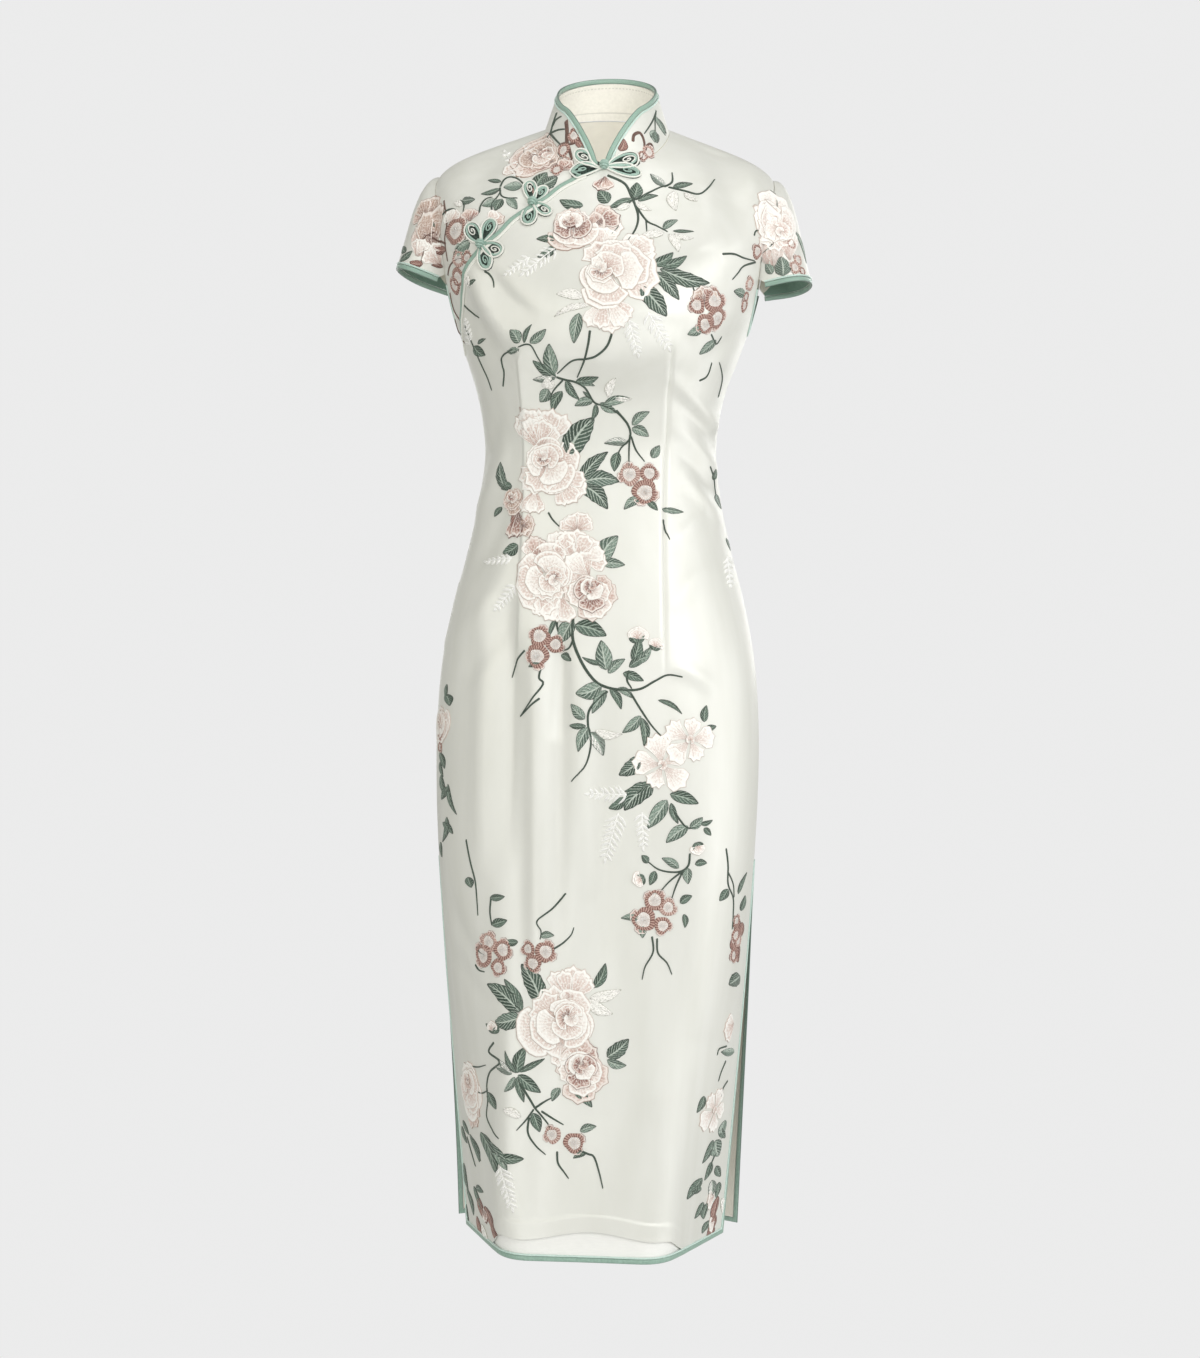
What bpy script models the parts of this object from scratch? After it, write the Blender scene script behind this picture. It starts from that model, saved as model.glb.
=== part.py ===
"""Cheongsam: a fitted satin dress with a stand collar, cap sleeves, a slanted front opening
closed by frog fastenings, and bound side slits, in the hollow form that it has when worn.

Metres, +Z up. The dress faces -Y, and +X is the wearer's left side. The origin lies midway
between the two points where the shoulder seams meet the collar, where the wearer carries it.

A place on the body has a face (FRONT or BACK), a share (0 at the wearer's right side seam, 1 at
the left one) and a level. Below the armpits the level is negative, in metres. Above them it runs
from 0 at the armpits to 1 at the neck seam.
"""

import math
from functools import lru_cache

import bmesh
import bpy
import numpy as np
from mathutils import Vector
from mathutils.bvhtree import BVHTree

FRONT, BACK = -1, 1
RIGHT, LEFT = 0, 1  # the wearer's sides, as the shares of their seams

# Cloth and trim
CLOTH = 0.0016  # satin with its lining
LINING = 0.0010  # one layer of lining
GAP = 0.0003  # between neighbouring pieces
SLEEVE_GAP = 0.0013  # where the sleeves turn off the armholes
BINDING_WIDTH = 0.0052
BINDING_THICKNESS = 0.0027
UNDERLAP_DROP = 0.0027  # how far the underlap's face lies below the front's
UNDERLAP_WIDTH = 0.028  # hidden below the front
CORD = 0.0026  # of the frogs

# Heights below the shoulder points
HEM_Z = -1.166
SLIT_TOP_Z = -0.755
ARMPIT_Z = -0.210
HEM_LEVEL = HEM_Z - ARMPIT_Z
SLIT_LEVEL = SLIT_TOP_Z - ARMPIT_Z

# The body's horizontal sections, from the armpits down.
# Columns: height, half width, front depth, back depth, fullness (0.55 is an ellipse)
SECTIONS = np.array(
    [
        (-0.210, 0.1535, 0.1220, 0.1000, 0.62),
        (-0.240, 0.1436, 0.1185, 0.0960, 0.62),
        (-0.271, 0.1328, 0.1060, 0.0905, 0.61),
        (-0.303, 0.1256, 0.0935, 0.0845, 0.60),
        (-0.335, 0.1226, 0.0860, 0.0800, 0.59),
        (-0.372, 0.1255, 0.0860, 0.0825, 0.59),
        (-0.430, 0.1364, 0.0940, 0.0930, 0.60),
        (-0.494, 0.1532, 0.1030, 0.1080, 0.61),
        (-0.558, 0.1652, 0.1090, 0.1190, 0.62),
        (-0.630, 0.1704, 0.1130, 0.1230, 0.62),
        (-0.700, 0.1700, 0.1155, 0.1190, 0.62),
        (-0.780, 0.1664, 0.1165, 0.1130, 0.61),
        (-0.900, 0.1622, 0.1150, 0.1070, 0.60),
        (-1.030, 0.1570, 0.1110, 0.1020, 0.60),
        (-1.166, 0.1515, 0.1070, 0.0980, 0.60),
    ]
)

# Below the slits the panels part, and each turns at a soft corner between its flat middle and
# its sides. Half width of the hem, of its flat middle, how far behind the side line the slit
# edges hang, and the corner's radius
HEM_FORM = {FRONT: (0.1380, 0.0800, 0.020, 0.026), BACK: (0.1530, 0.0890, 0.062, 0.030)}
SWING_POWER = 1.3

# Soft vertical folds. Columns: face, distance from the centre line, top, bottom, rise, half width
FOLDS = (
    (FRONT, -0.066, -0.52, -1.02, -0.0022, 0.014),
    (FRONT, 0.004, -0.55, -1.00, -0.0020, 0.018),
    (FRONT, 0.083, -0.60, -1.12, -0.0016, 0.020),
    (FRONT, -0.100, -0.95, -1.20, 0.0020, 0.012),
    (BACK, -0.060, -0.66, -1.12, -0.0024, 0.020),
    (BACK, 0.052, -0.62, -1.14, -0.0022, 0.018),
)

# The front's satin ends above the bound hem, and a strip of lining shows below it
HEM_SHOW = 0.0215
HEM_SHOW_REACH = (0.082, 0.122)  # full rise up to here, and none from here, from the centre
HEM_WAVE = 0.0030
UNDERLAY_TOP_Z = -1.116

# Neck and collar rings: half width, front depth, back depth
NECK_RING = (0.0665, 0.0650, 0.0520)
COLLAR_RING = (0.0525, 0.0585, 0.0405)
NECK_TILT = 0.68  # rise of the neck ring from front to back, per metre of depth
NECK_SAG = 0.20  # how the ring's front and back sink below that plane
COLLAR_SIDE_Z = 0.0435
COLLAR_TILT = 0.655
COLLAR_END = 0.0078  # from the centre front
COLLAR_CORNER = 0.046  # length of the rounded front corners
COLLAR_CORNER_POWER = 1.55

LEAN_TILT = 0.022
LEAN_SHIFT = 0.011
LEAN_FROM_Z = -0.29

# Curve handles between the armpits' level and the neck: outward or forward reach, and rise
SIDE_LOW, SIDE_HIGH = (0.0540, 0.178), (0.134, -0.041)
FRONT_LOW, FRONT_HIGH = (-0.005, 0.050), (0.014, -0.052)
BACK_LOW, BACK_HIGH = (0.003, 0.080), (0.034, -0.040)

SHOULDER_LEVEL = 0.55  # where the armhole meets the shoulder seam
ARMHOLE_DEPTH = {FRONT: 0.112, BACK: 0.100}  # as a share of the panel's width
ARMHOLE_POWER = 0.72

# The opening's edge, from the right side seam to the centre front. Columns: level, share
PLACKET = np.array(
    [
        (1.00, 0.500),
        (0.95, 0.434),
        (0.87, 0.380),
        (0.71, 0.342),
        (0.50, 0.304),
        (0.35, 0.282),
        (0.21, 0.236),
        (0.12, 0.194),
        (0.06, 0.158),
        (0.00, 0.112),
        (-0.02, 0.072),
        (-0.045, 0.000),
    ]
)

# Cap sleeves: hem ends and tip as distances outward, backward and up from the origin
SLEEVE_FRONT_END = (0.1705, -0.036, -0.1615)
SLEEVE_TIP = {RIGHT: (0.2200, 0.002, -0.1440), LEFT: (0.2190, 0.002, -0.1520)}
SLEEVE_BACK_END = (0.1705, 0.033, -0.1625)
SLEEVE_MOUTH_BULGE = 0.012  # the mouth is rounder than its ends alone

# Frog fastenings. Columns: name, share, level, rise above it, angle across the body, size
FROGS = (
    ("frog_neck", 0.509, 0.985, 0.005, 0.0, 1.12),
    ("frog_chest", 0.312, 0.655, 0.0, -50.0, 1.15),
    ("frog_side", 0.250, 0.290, 0.0, -44.0, 1.12),
)
KNOT_RADIUS = 0.0040
# Half a frog: its cord's run round the upper petal to the middle, as millimetres from the knot,
# across the opening and along it. The lower petal mirrors it
FROG_CORD = ((6.4, 5.0), (9.6, 9.2), (15.0, 12.4), (19.6, 10.6), (18.2, 6.0), (12.6, 3.2), (8.4, 1.9))
FROG_TURN = (6.6, 0.0)

# Rows and columns of the cloth
TORSO_ROWS = 23
ARMHOLE_LEVELS = (0.0, 0.03, 0.06, 0.09)
SLEEVE_LEVELS = (0.115, 0.165, 0.22, 0.28, 0.34, 0.40, 0.455, 0.505, 0.55)
NECK_LEVELS = (0.64, 0.74, 0.83, 0.91, 0.96, 1.0)
FRONT_COLUMNS, BACK_COLUMNS = 28, 22


def smooth(x):
    x = np.clip(x, 0.0, 1.0)
    return x * x * (3 - 2 * x)


def through(table, column, at):
    """A smooth curve through a table whose first column falls."""
    xs = table[::-1, 0]
    ys = table[::-1, column]
    slopes = np.gradient(ys, xs)
    at = min(max(at, xs[0]), xs[-1])
    k = min(max(int(np.searchsorted(xs, at)) - 1, 0), len(xs) - 2)
    span = xs[k + 1] - xs[k]
    u = (at - xs[k]) / span
    start = (1 + 2 * u) * (1 - u) ** 2 * ys[k] + u * (1 - u) ** 2 * span * slopes[k]
    end = u * u * (3 - 2 * u) * ys[k + 1] + u * u * (u - 1) * span * slopes[k + 1]
    return start + end


def bezier(p0, p1, p2, p3, t):
    u = 1 - t
    return u**3 * p0 + 3 * u * u * t * p1 + 3 * u * t * t * p2 + t**3 * p3


def columns(*values):
    return np.stack(np.broadcast_arrays(*values), axis=-1).astype(float)


def evened(points, count=121):
    """A polyline's points, spaced evenly along it."""
    steps = np.linalg.norm(np.diff(points, axis=0), axis=1)
    along = np.concatenate([[0.0], np.cumsum(steps)])
    even = np.linspace(0, along[-1], count)
    return np.stack([np.interp(even, along, points[:, i]) for i in range(2)], axis=1), along[-1]


def rounded_half(face, width, depth, fullness):
    """Half a section, as one curve from the side seam to the centre line."""
    t = np.linspace(0, 1, 60)[:, None]
    side = np.array([width, 0.0])
    centre = np.array([0.0, face * depth])
    return bezier(
        side,
        side + (0, face * fullness * depth),
        centre + (fullness * width, 0),
        centre,
        t,
    )


def cornered_half(face, width, flat, edge_back, radius, depth):
    """Half a hem section, with a soft corner between its flat middle and its side."""
    edge = np.array([width, edge_back])
    corner = np.array([flat, face * depth])
    centre = np.array([0.0, face * depth])
    start = corner + (edge - corner) / np.linalg.norm(edge - corner) * radius
    end = corner + (centre - corner) / np.linalg.norm(centre - corner) * radius
    t = np.linspace(0, 1, 20)[:, None]
    turn = (1 - t) ** 2 * start + 2 * t * (1 - t) * corner + t * t * end
    return np.concatenate([edge[None], turn, centre[None]])


@lru_cache(maxsize=None)
def section(face, level):
    """A horizontal section below the armpits, from the right side to the left, and its length."""
    z = ARMPIT_Z + level
    width = through(SECTIONS, 1, z)
    depth = through(SECTIONS, 2 if face == FRONT else 3, z)
    fullness = through(SECTIONS, 4, z)
    hem_width, flat, edge_back, radius = HEM_FORM[face]
    swing = max((SLIT_TOP_Z - z) / (SLIT_TOP_Z - HEM_Z), 0.0) ** SWING_POWER
    width += (hem_width - SECTIONS[-1, 1]) * swing
    half, _ = evened(rounded_half(face, width, depth, fullness))
    if swing > 0:
        cornered, _ = evened(cornered_half(face, width, flat, edge_back, radius, depth))
        half = half + (cornered - half) * swing
        half[:, 1] += edge_back * (1 - swing) * swing * np.linspace(1, 0, len(half)) ** 2
    half, length = evened(half)
    whole = np.concatenate([half * (-1, 1), half[-2::-1]])
    return whole, 2 * length


def torso_row(face, level, shares):
    points, _ = section(face, round(level, 6))
    at = np.linspace(0, 1, len(points))
    return columns(np.interp(shares, at, points[:, 0]), np.interp(shares, at, points[:, 1]), ARMPIT_Z + level)


def neck_height(y):
    return NECK_TILT * y - NECK_SAG * (np.sqrt(y * y + 0.02**2) - 0.02)


def yoke_row(face, level, shares):
    """Across the chest or the shoulder blades, between the armpits' level and the neck seam."""
    turn = np.cos(np.pi * shares)
    side = turn * turn
    middle = 1 - side
    outward = -turn * np.abs(turn)
    chest = torso_row(face, 0.0, shares)
    neck_y = face * NECK_RING[1 if face == FRONT else 2] * np.sin(np.pi * shares)
    neck = columns(-NECK_RING[0] * turn, neck_y, neck_height(neck_y))
    low, high = (FRONT_LOW, FRONT_HIGH) if face == FRONT else (BACK_LOW, BACK_HIGH)
    from_chest = columns(
        outward * SIDE_LOW[0], face * middle * low[0], side * SIDE_LOW[1] + middle * low[1]
    )
    from_neck = columns(
        outward * SIDE_HIGH[0], face * middle * high[0], side * SIDE_HIGH[1] + middle * high[1]
    )
    return bezier(chest, chest + from_chest, neck + from_neck, neck, level)


def leaned(points):
    """The upper body leans a little to the wearer's left, whose shoulder hangs lower."""
    above = np.maximum(points[..., 2] - LEAN_FROM_Z, 0)
    x = points[..., 0] + LEAN_SHIFT * above
    z = points[..., 2] - LEAN_TILT * points[..., 0] * smooth(above / 0.1)
    return columns(x, points[..., 1], z)


def plain_row(face, level, shares):
    row = torso_row(face, level, shares) if level <= 0 else yoke_row(face, level, shares)
    return leaned(row)


def row_normals(face, level, shares):
    """The outward directions along one row of the body."""
    step = 0.004
    low, high = np.clip(shares - step, 0, 1), np.clip(shares + step, 0, 1)
    across = plain_row(face, level, high) - plain_row(face, level, low)
    up = plain_row(face, min(level + step, 1), shares) - plain_row(face, level - step, shares)
    normals = np.cross(across, up) * -face
    at_seam = (shares < 1e-6) | (shares > 1 - 1e-6)
    if level > SLIT_LEVEL:
        normals[at_seam, 1] = 0
    return normals / np.linalg.norm(normals, axis=1)[:, None]


def fold_rise(face, level, shares):
    z = ARMPIT_Z + level
    length = section(face, round(min(level, 0.0), 6))[1]
    across = (shares - 0.5) * length
    rise = np.zeros(len(shares))
    for fold_face, centre, top, bottom, height, half_width in FOLDS:
        if fold_face == face:
            share = smooth((top - z) / 0.16) * smooth((z - bottom) / 0.16)
            rise += share * height * np.exp(-(((across - centre) / half_width) ** 2))
    return rise


def body_row(face, level, shares, lift=0.0):
    """Points and outward directions of one row, in front of the body's face by a lift."""
    shares = np.asarray(shares, float)
    normals = row_normals(face, level, shares)
    rise = fold_rise(face, level, shares) + lift
    points = plain_row(face, level, shares) + normals * rise[:, None]
    return points, normals


def armhole(face, level):
    """The armhole's edge, as a share in from the side seam."""
    if level <= 0 or level >= SHOULDER_LEVEL:
        return 0.0
    return ARMHOLE_DEPTH[face] * math.sin(math.pi * level / SHOULDER_LEVEL) ** ARMHOLE_POWER


def seam_inset(face, level):
    """What a panel leaves at its side edges: half a gap at a seam, the binding's width at a slit."""
    length = section(face, round(min(level, 0.0), 6))[1]
    at_slit = float(smooth((SLIT_LEVEL - level) / 0.012))
    return (GAP / 2 + (BINDING_WIDTH + GAP) * at_slit) / length


def placket(level):
    return max(through(PLACKET, 1, level), 0.0)


def hem_rise(across):
    """How far above the binding the front's satin ends."""
    full, none = HEM_SHOW_REACH
    share = smooth((none - np.abs(across)) / (none - full))
    wave = HEM_WAVE * np.sin((across + 0.03) * 42)
    return share * (HEM_SHOW + wave)


def body_levels():
    torso = np.linspace(HEM_LEVEL, -0.065, TORSO_ROWS)
    armpit = (-0.045, -0.020)
    yoke = ARMHOLE_LEVELS + SLEEVE_LEVELS + NECK_LEVELS
    slit = (SLIT_LEVEL, SLIT_LEVEL - 0.012)
    return np.unique(np.concatenate([torso, armpit, yoke, slit]))


def stack(rows):
    points, normals = zip(*rows)
    return np.stack(points), np.stack(normals)


def bottom_row(face, shares, rises):
    """A panel's lowest row, at these heights above the hem."""
    parts = [body_row(face, HEM_LEVEL + r, [s]) for r, s in zip(rises, shares)]
    return np.concatenate([p for p, _ in parts]), np.concatenate([n for _, n in parts])


def front_shares(level):
    inset = seam_inset(FRONT, level)
    right = max(inset, placket(level)) if level > PLACKET[-1, 0] else inset
    left = 1 - max(inset, armhole(FRONT, level))
    return right + (left - right) * np.linspace(0, 1, FRONT_COLUMNS)


def front_grid():
    shares = front_shares(HEM_LEVEL)
    across = (shares - 0.5) * section(FRONT, HEM_LEVEL)[1]
    rows = [bottom_row(FRONT, shares, hem_rise(across) + BINDING_WIDTH + GAP)]
    for level in body_levels():
        if level > HEM_LEVEL + HEM_SHOW + BINDING_WIDTH + HEM_WAVE:
            rows.append(body_row(FRONT, level, front_shares(level)))
    return stack(rows)


def back_grid():
    rows = []
    for level in body_levels():
        edge = max(seam_inset(BACK, level), armhole(BACK, level))
        if level == HEM_LEVEL:
            level += BINDING_WIDTH + GAP
        shares = edge + (1 - 2 * edge) * np.linspace(0, 1, BACK_COLUMNS)
        rows.append(body_row(BACK, level, shares))
    return stack(rows)


def underlap_drop(shares, level):
    """How deep the underlap lies: below the front and its binding, and flush at its far edges."""
    length = section(FRONT, 0.0)[1]
    away = (placket(level) - shares) * length
    rising = smooth((away - 0.009) / 0.020)
    return -UNDERLAP_DROP * (1 - rising * float(smooth((level + 0.045) / 0.045)))


def underlap_grid():
    rows = []
    length = section(FRONT, 0.0)[1]
    for level in body_levels()[body_levels() > -0.07]:
        right = max(seam_inset(FRONT, level), armhole(FRONT, level))
        left = placket(level) + UNDERLAP_WIDTH / length
        shares = right + (left - right) * np.linspace(0, 1, 12)
        points, normals = body_row(FRONT, level, shares)
        rows.append((points + normals * underlap_drop(shares, level)[:, None], normals))
    return stack(rows)


def underlay_grid():
    """The strip of lining that shows below the front's satin."""
    rows = []
    shares = front_shares(HEM_LEVEL)[3:-3]
    for z in np.linspace(HEM_Z + BINDING_WIDTH + GAP, UNDERLAY_TOP_Z, 4):
        points, normals = body_row(FRONT, z - ARMPIT_Z, shares)
        rows.append((points - normals * (CLOTH + 2 * GAP), normals))
    return stack(rows)


def ring(form, turn):
    """A neck ring at shares of a turn, from the centre front by the wearer's right."""
    half_width, front, back = form
    cosine = np.cos(2 * np.pi * turn)
    y = np.where(cosine > 0, -front * cosine, -back * cosine)
    return -half_width * np.sin(2 * np.pi * turn), y


def collar_point(turn, height):
    x0, y0 = ring(NECK_RING, turn)
    x1, y1 = ring(COLLAR_RING, turn)
    foot = leaned(columns(x0, y0, neck_height(y0)))
    top = columns(x1 - LEAN_SHIFT * LEAN_FROM_Z, y1, COLLAR_SIDE_Z + COLLAR_TILT * y1)
    return foot + (top - foot) * height[..., None]


def collar_length():
    points = collar_point(np.linspace(0, 1, 200), np.full(200, 0.5))
    return float(np.linalg.norm(np.diff(points, axis=0), axis=1).sum())


def collar_rise(turn):
    """The collar's height as a share, rounded at its front corners."""
    from_end = np.minimum(turn, 1 - turn) * collar_length() - COLLAR_END
    x = np.clip(from_end / COLLAR_CORNER, 0.0, 1.0)
    rise = (1 - (1 - x) ** COLLAR_CORNER_POWER) ** (1 / COLLAR_CORNER_POWER)
    return np.maximum(rise, 0.10)


def collar_grid(inset, rows=5):
    end = COLLAR_END / collar_length()
    half = end + (0.5 - end) * np.linspace(0, 1, 20) ** 1.25
    turns = np.concatenate([half, 1 - half[-2::-1]])
    step = 0.002
    top = collar_rise(turns) * (1 - BINDING_WIDTH / 0.048)
    grid = []
    normals = []
    for share in np.linspace(0, 1, rows):
        height = 0.015 + (top - 0.015) * share
        around = collar_point(turns + step, height) - collar_point(turns - step, height)
        up = collar_point(turns, height + 0.1) - collar_point(turns, height)
        normal = np.cross(up, around)
        normal /= np.linalg.norm(normal, axis=1)[:, None]
        grid.append(collar_point(turns, height) - normal * inset)
        normals.append(normal)
    return np.stack(grid), np.stack(normals)


def armhole_rim(side, levels):
    """An armhole's edge through these levels of the front, and back through them in the back."""
    points, normals = [], []
    for face, run in ((FRONT, levels), (BACK, levels[-2::-1])):
        for level in run:
            edge = max(armhole(face, level), seam_inset(face, level))
            share = edge if side == RIGHT else 1 - edge
            point, normal = body_row(face, level, [share])
            points.append(point[0])
            normals.append(normal[0])
    return np.array(points), np.array(normals)


def edge_directions(points, normals):
    """Directions off a panel's edge that runs with the panel on its left, seen from outside.

    They lie in its surface, and are long enough to mitre at corners.
    """
    steps = np.diff(points, axis=0)
    steps /= np.linalg.norm(steps, axis=1)[:, None]
    before = np.concatenate([steps[:1], steps])
    after = np.concatenate([steps, steps[-1:]])
    tangent = before + after
    tangent /= np.linalg.norm(tangent, axis=1)[:, None]
    off = np.cross(tangent, normals)
    off /= np.linalg.norm(off, axis=1)[:, None]
    mitre = np.clip(np.sum(tangent * after, axis=1), 0.6, 1.0)
    return off / mitre[:, None]


def collection(name):
    made = bpy.data.collections.new(name)
    bpy.context.scene.collection.children.link(made)
    return made


def add_mesh(name, vertices, faces, holder):
    mesh = bpy.data.meshes.new(name)
    mesh.from_pydata([tuple(map(float, v)) for v in vertices], [], faces)
    mesh.validate()
    work = bmesh.new()
    work.from_mesh(mesh)
    bmesh.ops.recalc_face_normals(work, faces=work.faces[:])
    work.to_mesh(mesh)
    work.free()
    obj = bpy.data.objects.new(name, mesh)
    holder.objects.link(obj)
    return obj


def wall(name, grid, normals, thickness, holder):
    """A closed wall with this outer face."""
    rows, cols, _ = grid.shape
    inner = grid - normals * thickness
    vertices = np.concatenate([grid.reshape(-1, 3), inner.reshape(-1, 3)])
    deep = rows * cols
    faces = []
    for r in range(rows - 1):
        for c in range(cols - 1):
            quad = (r * cols + c, r * cols + c + 1, (r + 1) * cols + c + 1, (r + 1) * cols + c)
            faces.append(quad)
            faces.append(tuple(deep + i for i in reversed(quad)))
    rim = [c for c in range(cols)]
    rim += [r * cols + cols - 1 for r in range(1, rows)]
    rim += [(rows - 1) * cols + c for c in range(cols - 2, -1, -1)]
    rim += [r * cols for r in range(rows - 2, 0, -1)]
    for a, b in zip(rim, rim[1:] + rim[:1]):
        faces.append((b, a, deep + a, deep + b))
    return add_mesh(name, vertices, faces, holder)


def swept(name, rings, holder):
    """A closed tube through rings with equal numbers of points."""
    count = len(rings[0])
    vertices = np.concatenate(rings)
    faces = []
    for i in range(len(rings) - 1):
        for j in range(count):
            k = (j + 1) % count
            faces.append((i * count + j, i * count + k, (i + 1) * count + k, (i + 1) * count + j))
    faces.append(tuple(range(count - 1, -1, -1)))
    last = (len(rings) - 1) * count
    faces.append(tuple(range(last, last + count)))
    return add_mesh(name, vertices, faces, holder)


# A binding's profile: shares of its width off the edge, and of half its thickness
BINDING_PROFILE = ((0, -1), (0, 1), (0.78, 1), (1, 0.45), (1, -0.45), (0.78, -1))


def binding(name, edge, holder):
    """A folded strip of satin along a panel's edge, which has the panel on its left."""
    points, normals = edge
    off = edge_directions(points, normals)
    middle = points - normals * CLOTH / 2
    half = BINDING_THICKNESS / 2
    rings = []
    for i in range(len(points)):
        profile = [
            middle[i] + off[i] * (GAP + w * BINDING_WIDTH) + normals[i] * h * half
            for w, h in BINDING_PROFILE
        ]
        rings.append(np.array(profile))
    return swept(name, rings, holder)


def sleeve_hem(u, side):
    """The cap sleeve's hem, from its front end by the tip to its back end."""
    front, tip, back = (np.array(p) for p in (SLEEVE_FRONT_END, SLEEVE_TIP[side], SLEEVE_BACK_END))
    ends = front + (back - front) * ((1 - math.cos(math.pi * u)) / 2)
    out = tip - (front + back) / 2
    bulge = np.array([0, -SLEEVE_MOUTH_BULGE * math.sin(2 * math.pi * u), 0])
    return ends + out * math.sin(math.pi * u) ** 0.85 + bulge


def sleeve_grid(side):
    """A cap sleeve, from the armhole's edge to its hem."""
    rim, rim_normals = armhole_rim(side, SLEEVE_LEVELS)
    mirror = np.array([-1.0 if side == RIGHT else 1.0, 1, 1])
    off = edge_directions(rim, rim_normals) * (-1 if side == RIGHT else 1)
    count = len(rim)
    columns_out = []
    for i in range(count):
        u = i / (count - 1)
        top = math.sin(math.pi * u) ** 2
        start = rim[i] + off[i] * SLEEVE_GAP
        end = leaned(sleeve_hem(u, side) * mirror)
        run = (end - start) / 3
        low = start + run * (1 - top) + mirror * (0.022, 0, 0.003) * top
        high = end - run * (1 - top) + mirror * (-0.012, 0, 0.040) * top
        t = np.linspace(0, 1, 6)[:, None]
        columns_out.append(bezier(start, low, high, end, t))
    grid = np.stack(columns_out, axis=1)
    normals = grid_normals(grid, mirror)
    normals[:, 0], normals[:, -1] = normals[:, 1], normals[:, -2]
    normals[0] += rim_normals * 0.6
    normals[0] /= np.linalg.norm(normals[0], axis=1)[:, None]
    return grid, normals


def grid_normals(grid, mirror):
    across = np.gradient(grid, axis=1)
    down = np.gradient(grid, axis=0)
    normals = np.cross(down, across) * mirror[0]
    return normals / np.linalg.norm(normals, axis=2)[..., None]


def joined(*runs):
    """One edge from several runs of points and outward directions."""
    return tuple(np.concatenate([run[i] for run in runs]) for i in (0, 1))


def part_of(grid, rows, cols):
    return grid[0][rows, cols], grid[1][rows, cols]


def slit_and_hem_edge(face, grid):
    """Down one slit, along the hem and up the other slit, in the order that keeps it outside."""
    levels = body_levels()
    if face == FRONT:
        levels = levels[(levels == HEM_LEVEL) | (levels > HEM_LEVEL + HEM_SHOW + BINDING_WIDTH + HEM_WAVE)]
    count = int(np.sum(levels <= SLIT_LEVEL - 0.012))
    right = part_of(grid, slice(0, count), 0)
    left = part_of(grid, slice(0, count), -1)
    spread = np.linspace(0, 1, grid[0].shape[1])[1:-1]
    inset = seam_inset(face, HEM_LEVEL)
    shares = inset + (1 - 2 * inset) * spread
    points, normals = bottom_row(face, shares, np.full(len(shares), BINDING_WIDTH + GAP))
    if face == FRONT:
        across = (shares - 0.5) * section(FRONT, HEM_LEVEL)[1]
        points = points - normals * (0.0016 * hem_rise(across) / HEM_SHOW)[:, None]
    hem = (points, normals)
    right_down = (right[0][::-1], right[1][::-1])
    if face == FRONT:
        return joined(right_down, hem, left)
    left_down = (left[0][::-1], left[1][::-1])
    return joined(left_down, (hem[0][::-1], hem[1][::-1]), right)


def placket_edge(grid):
    levels = body_levels()
    levels = levels[levels > HEM_LEVEL + HEM_SHOW + BINDING_WIDTH + HEM_WAVE]
    rows = [i + 1 for i, level in enumerate(levels) if -0.03 < level < 0.95]
    return part_of(grid, rows[::-1], 0)


def collar_edge(grid):
    rise = part_of(grid, slice(1, -1), 0)
    top = part_of(grid, -1, slice(None))
    fall = part_of(grid, slice(-2, 0, -1), -1)
    return joined(rise, top, fall)


def knot_mesh(name, centre, radius, holder):
    work = bmesh.new()
    bmesh.ops.create_uvsphere(work, u_segments=8, v_segments=6, radius=radius)
    bmesh.ops.translate(work, verts=work.verts[:], vec=Vector(centre))
    mesh = bpy.data.meshes.new(name)
    work.to_mesh(mesh)
    work.free()
    obj = bpy.data.objects.new(name, mesh)
    holder.objects.link(obj)
    return obj


def ground_under(objects):
    """The faces on which the frogs lie."""
    vertices, triangles = [], []
    for obj in objects:
        start = len(vertices)
        vertices += [v.co.copy() for v in obj.data.vertices]
        triangles += [tuple(start + i for i in face.vertices) for face in obj.data.polygons]
    return BVHTree.FromPolygons(vertices, triangles)


def height_over(ground, place, normal):
    """How high the ground stands at a place, along the frog's own upward direction."""
    reach = 0.02
    hit = ground.ray_cast(Vector(place + normal * reach), Vector(-normal), 2 * reach)
    return reach - hit[3] if hit[0] is not None else -0.004


def lying_height(ground, place, normal, frame, radius):
    """The highest ground within a cord's reach of a place."""
    heights = [height_over(ground, place, normal)]
    for k in range(8):
        angle = math.pi * k / 4
        aside = frame[0] * math.cos(angle) + frame[1] * math.sin(angle)
        heights.append(height_over(ground, place + aside * radius, normal))
    return max(heights)


def spline(points, count):
    """A curve through the points."""
    points = np.asarray(points, float)
    before = 2 * points[0] - points[1]
    after = 2 * points[-1] - points[-2]
    run = np.concatenate([before[None], points, after[None]])
    made = []
    for t in np.linspace(0, len(points) - 1, count):
        k = min(int(t), len(points) - 2)
        u = t - k
        a, b, c, d = run[k : k + 4]
        made.append(
            b + (c - a) * u / 2 + (2 * a - 5 * b + 4 * c - d) * u * u / 2 + (3 * b - a - 3 * c + d) * u**3 / 2
        )
    return np.array(made)


def cord_rings(path, normal, radius, sides=6):
    tangents = np.gradient(path, axis=0)
    rings = []
    for point, tangent in zip(path, tangents):
        tangent = tangent / np.linalg.norm(tangent)
        aside = np.cross(tangent, normal)
        aside /= np.linalg.norm(aside)
        up = np.cross(aside, tangent)
        angles = [2 * math.pi * (k + 0.5) / sides for k in range(sides)]
        rings.append(np.array([point + (aside * math.cos(a) + up * math.sin(a)) * radius for a in angles]))
    return rings


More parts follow.
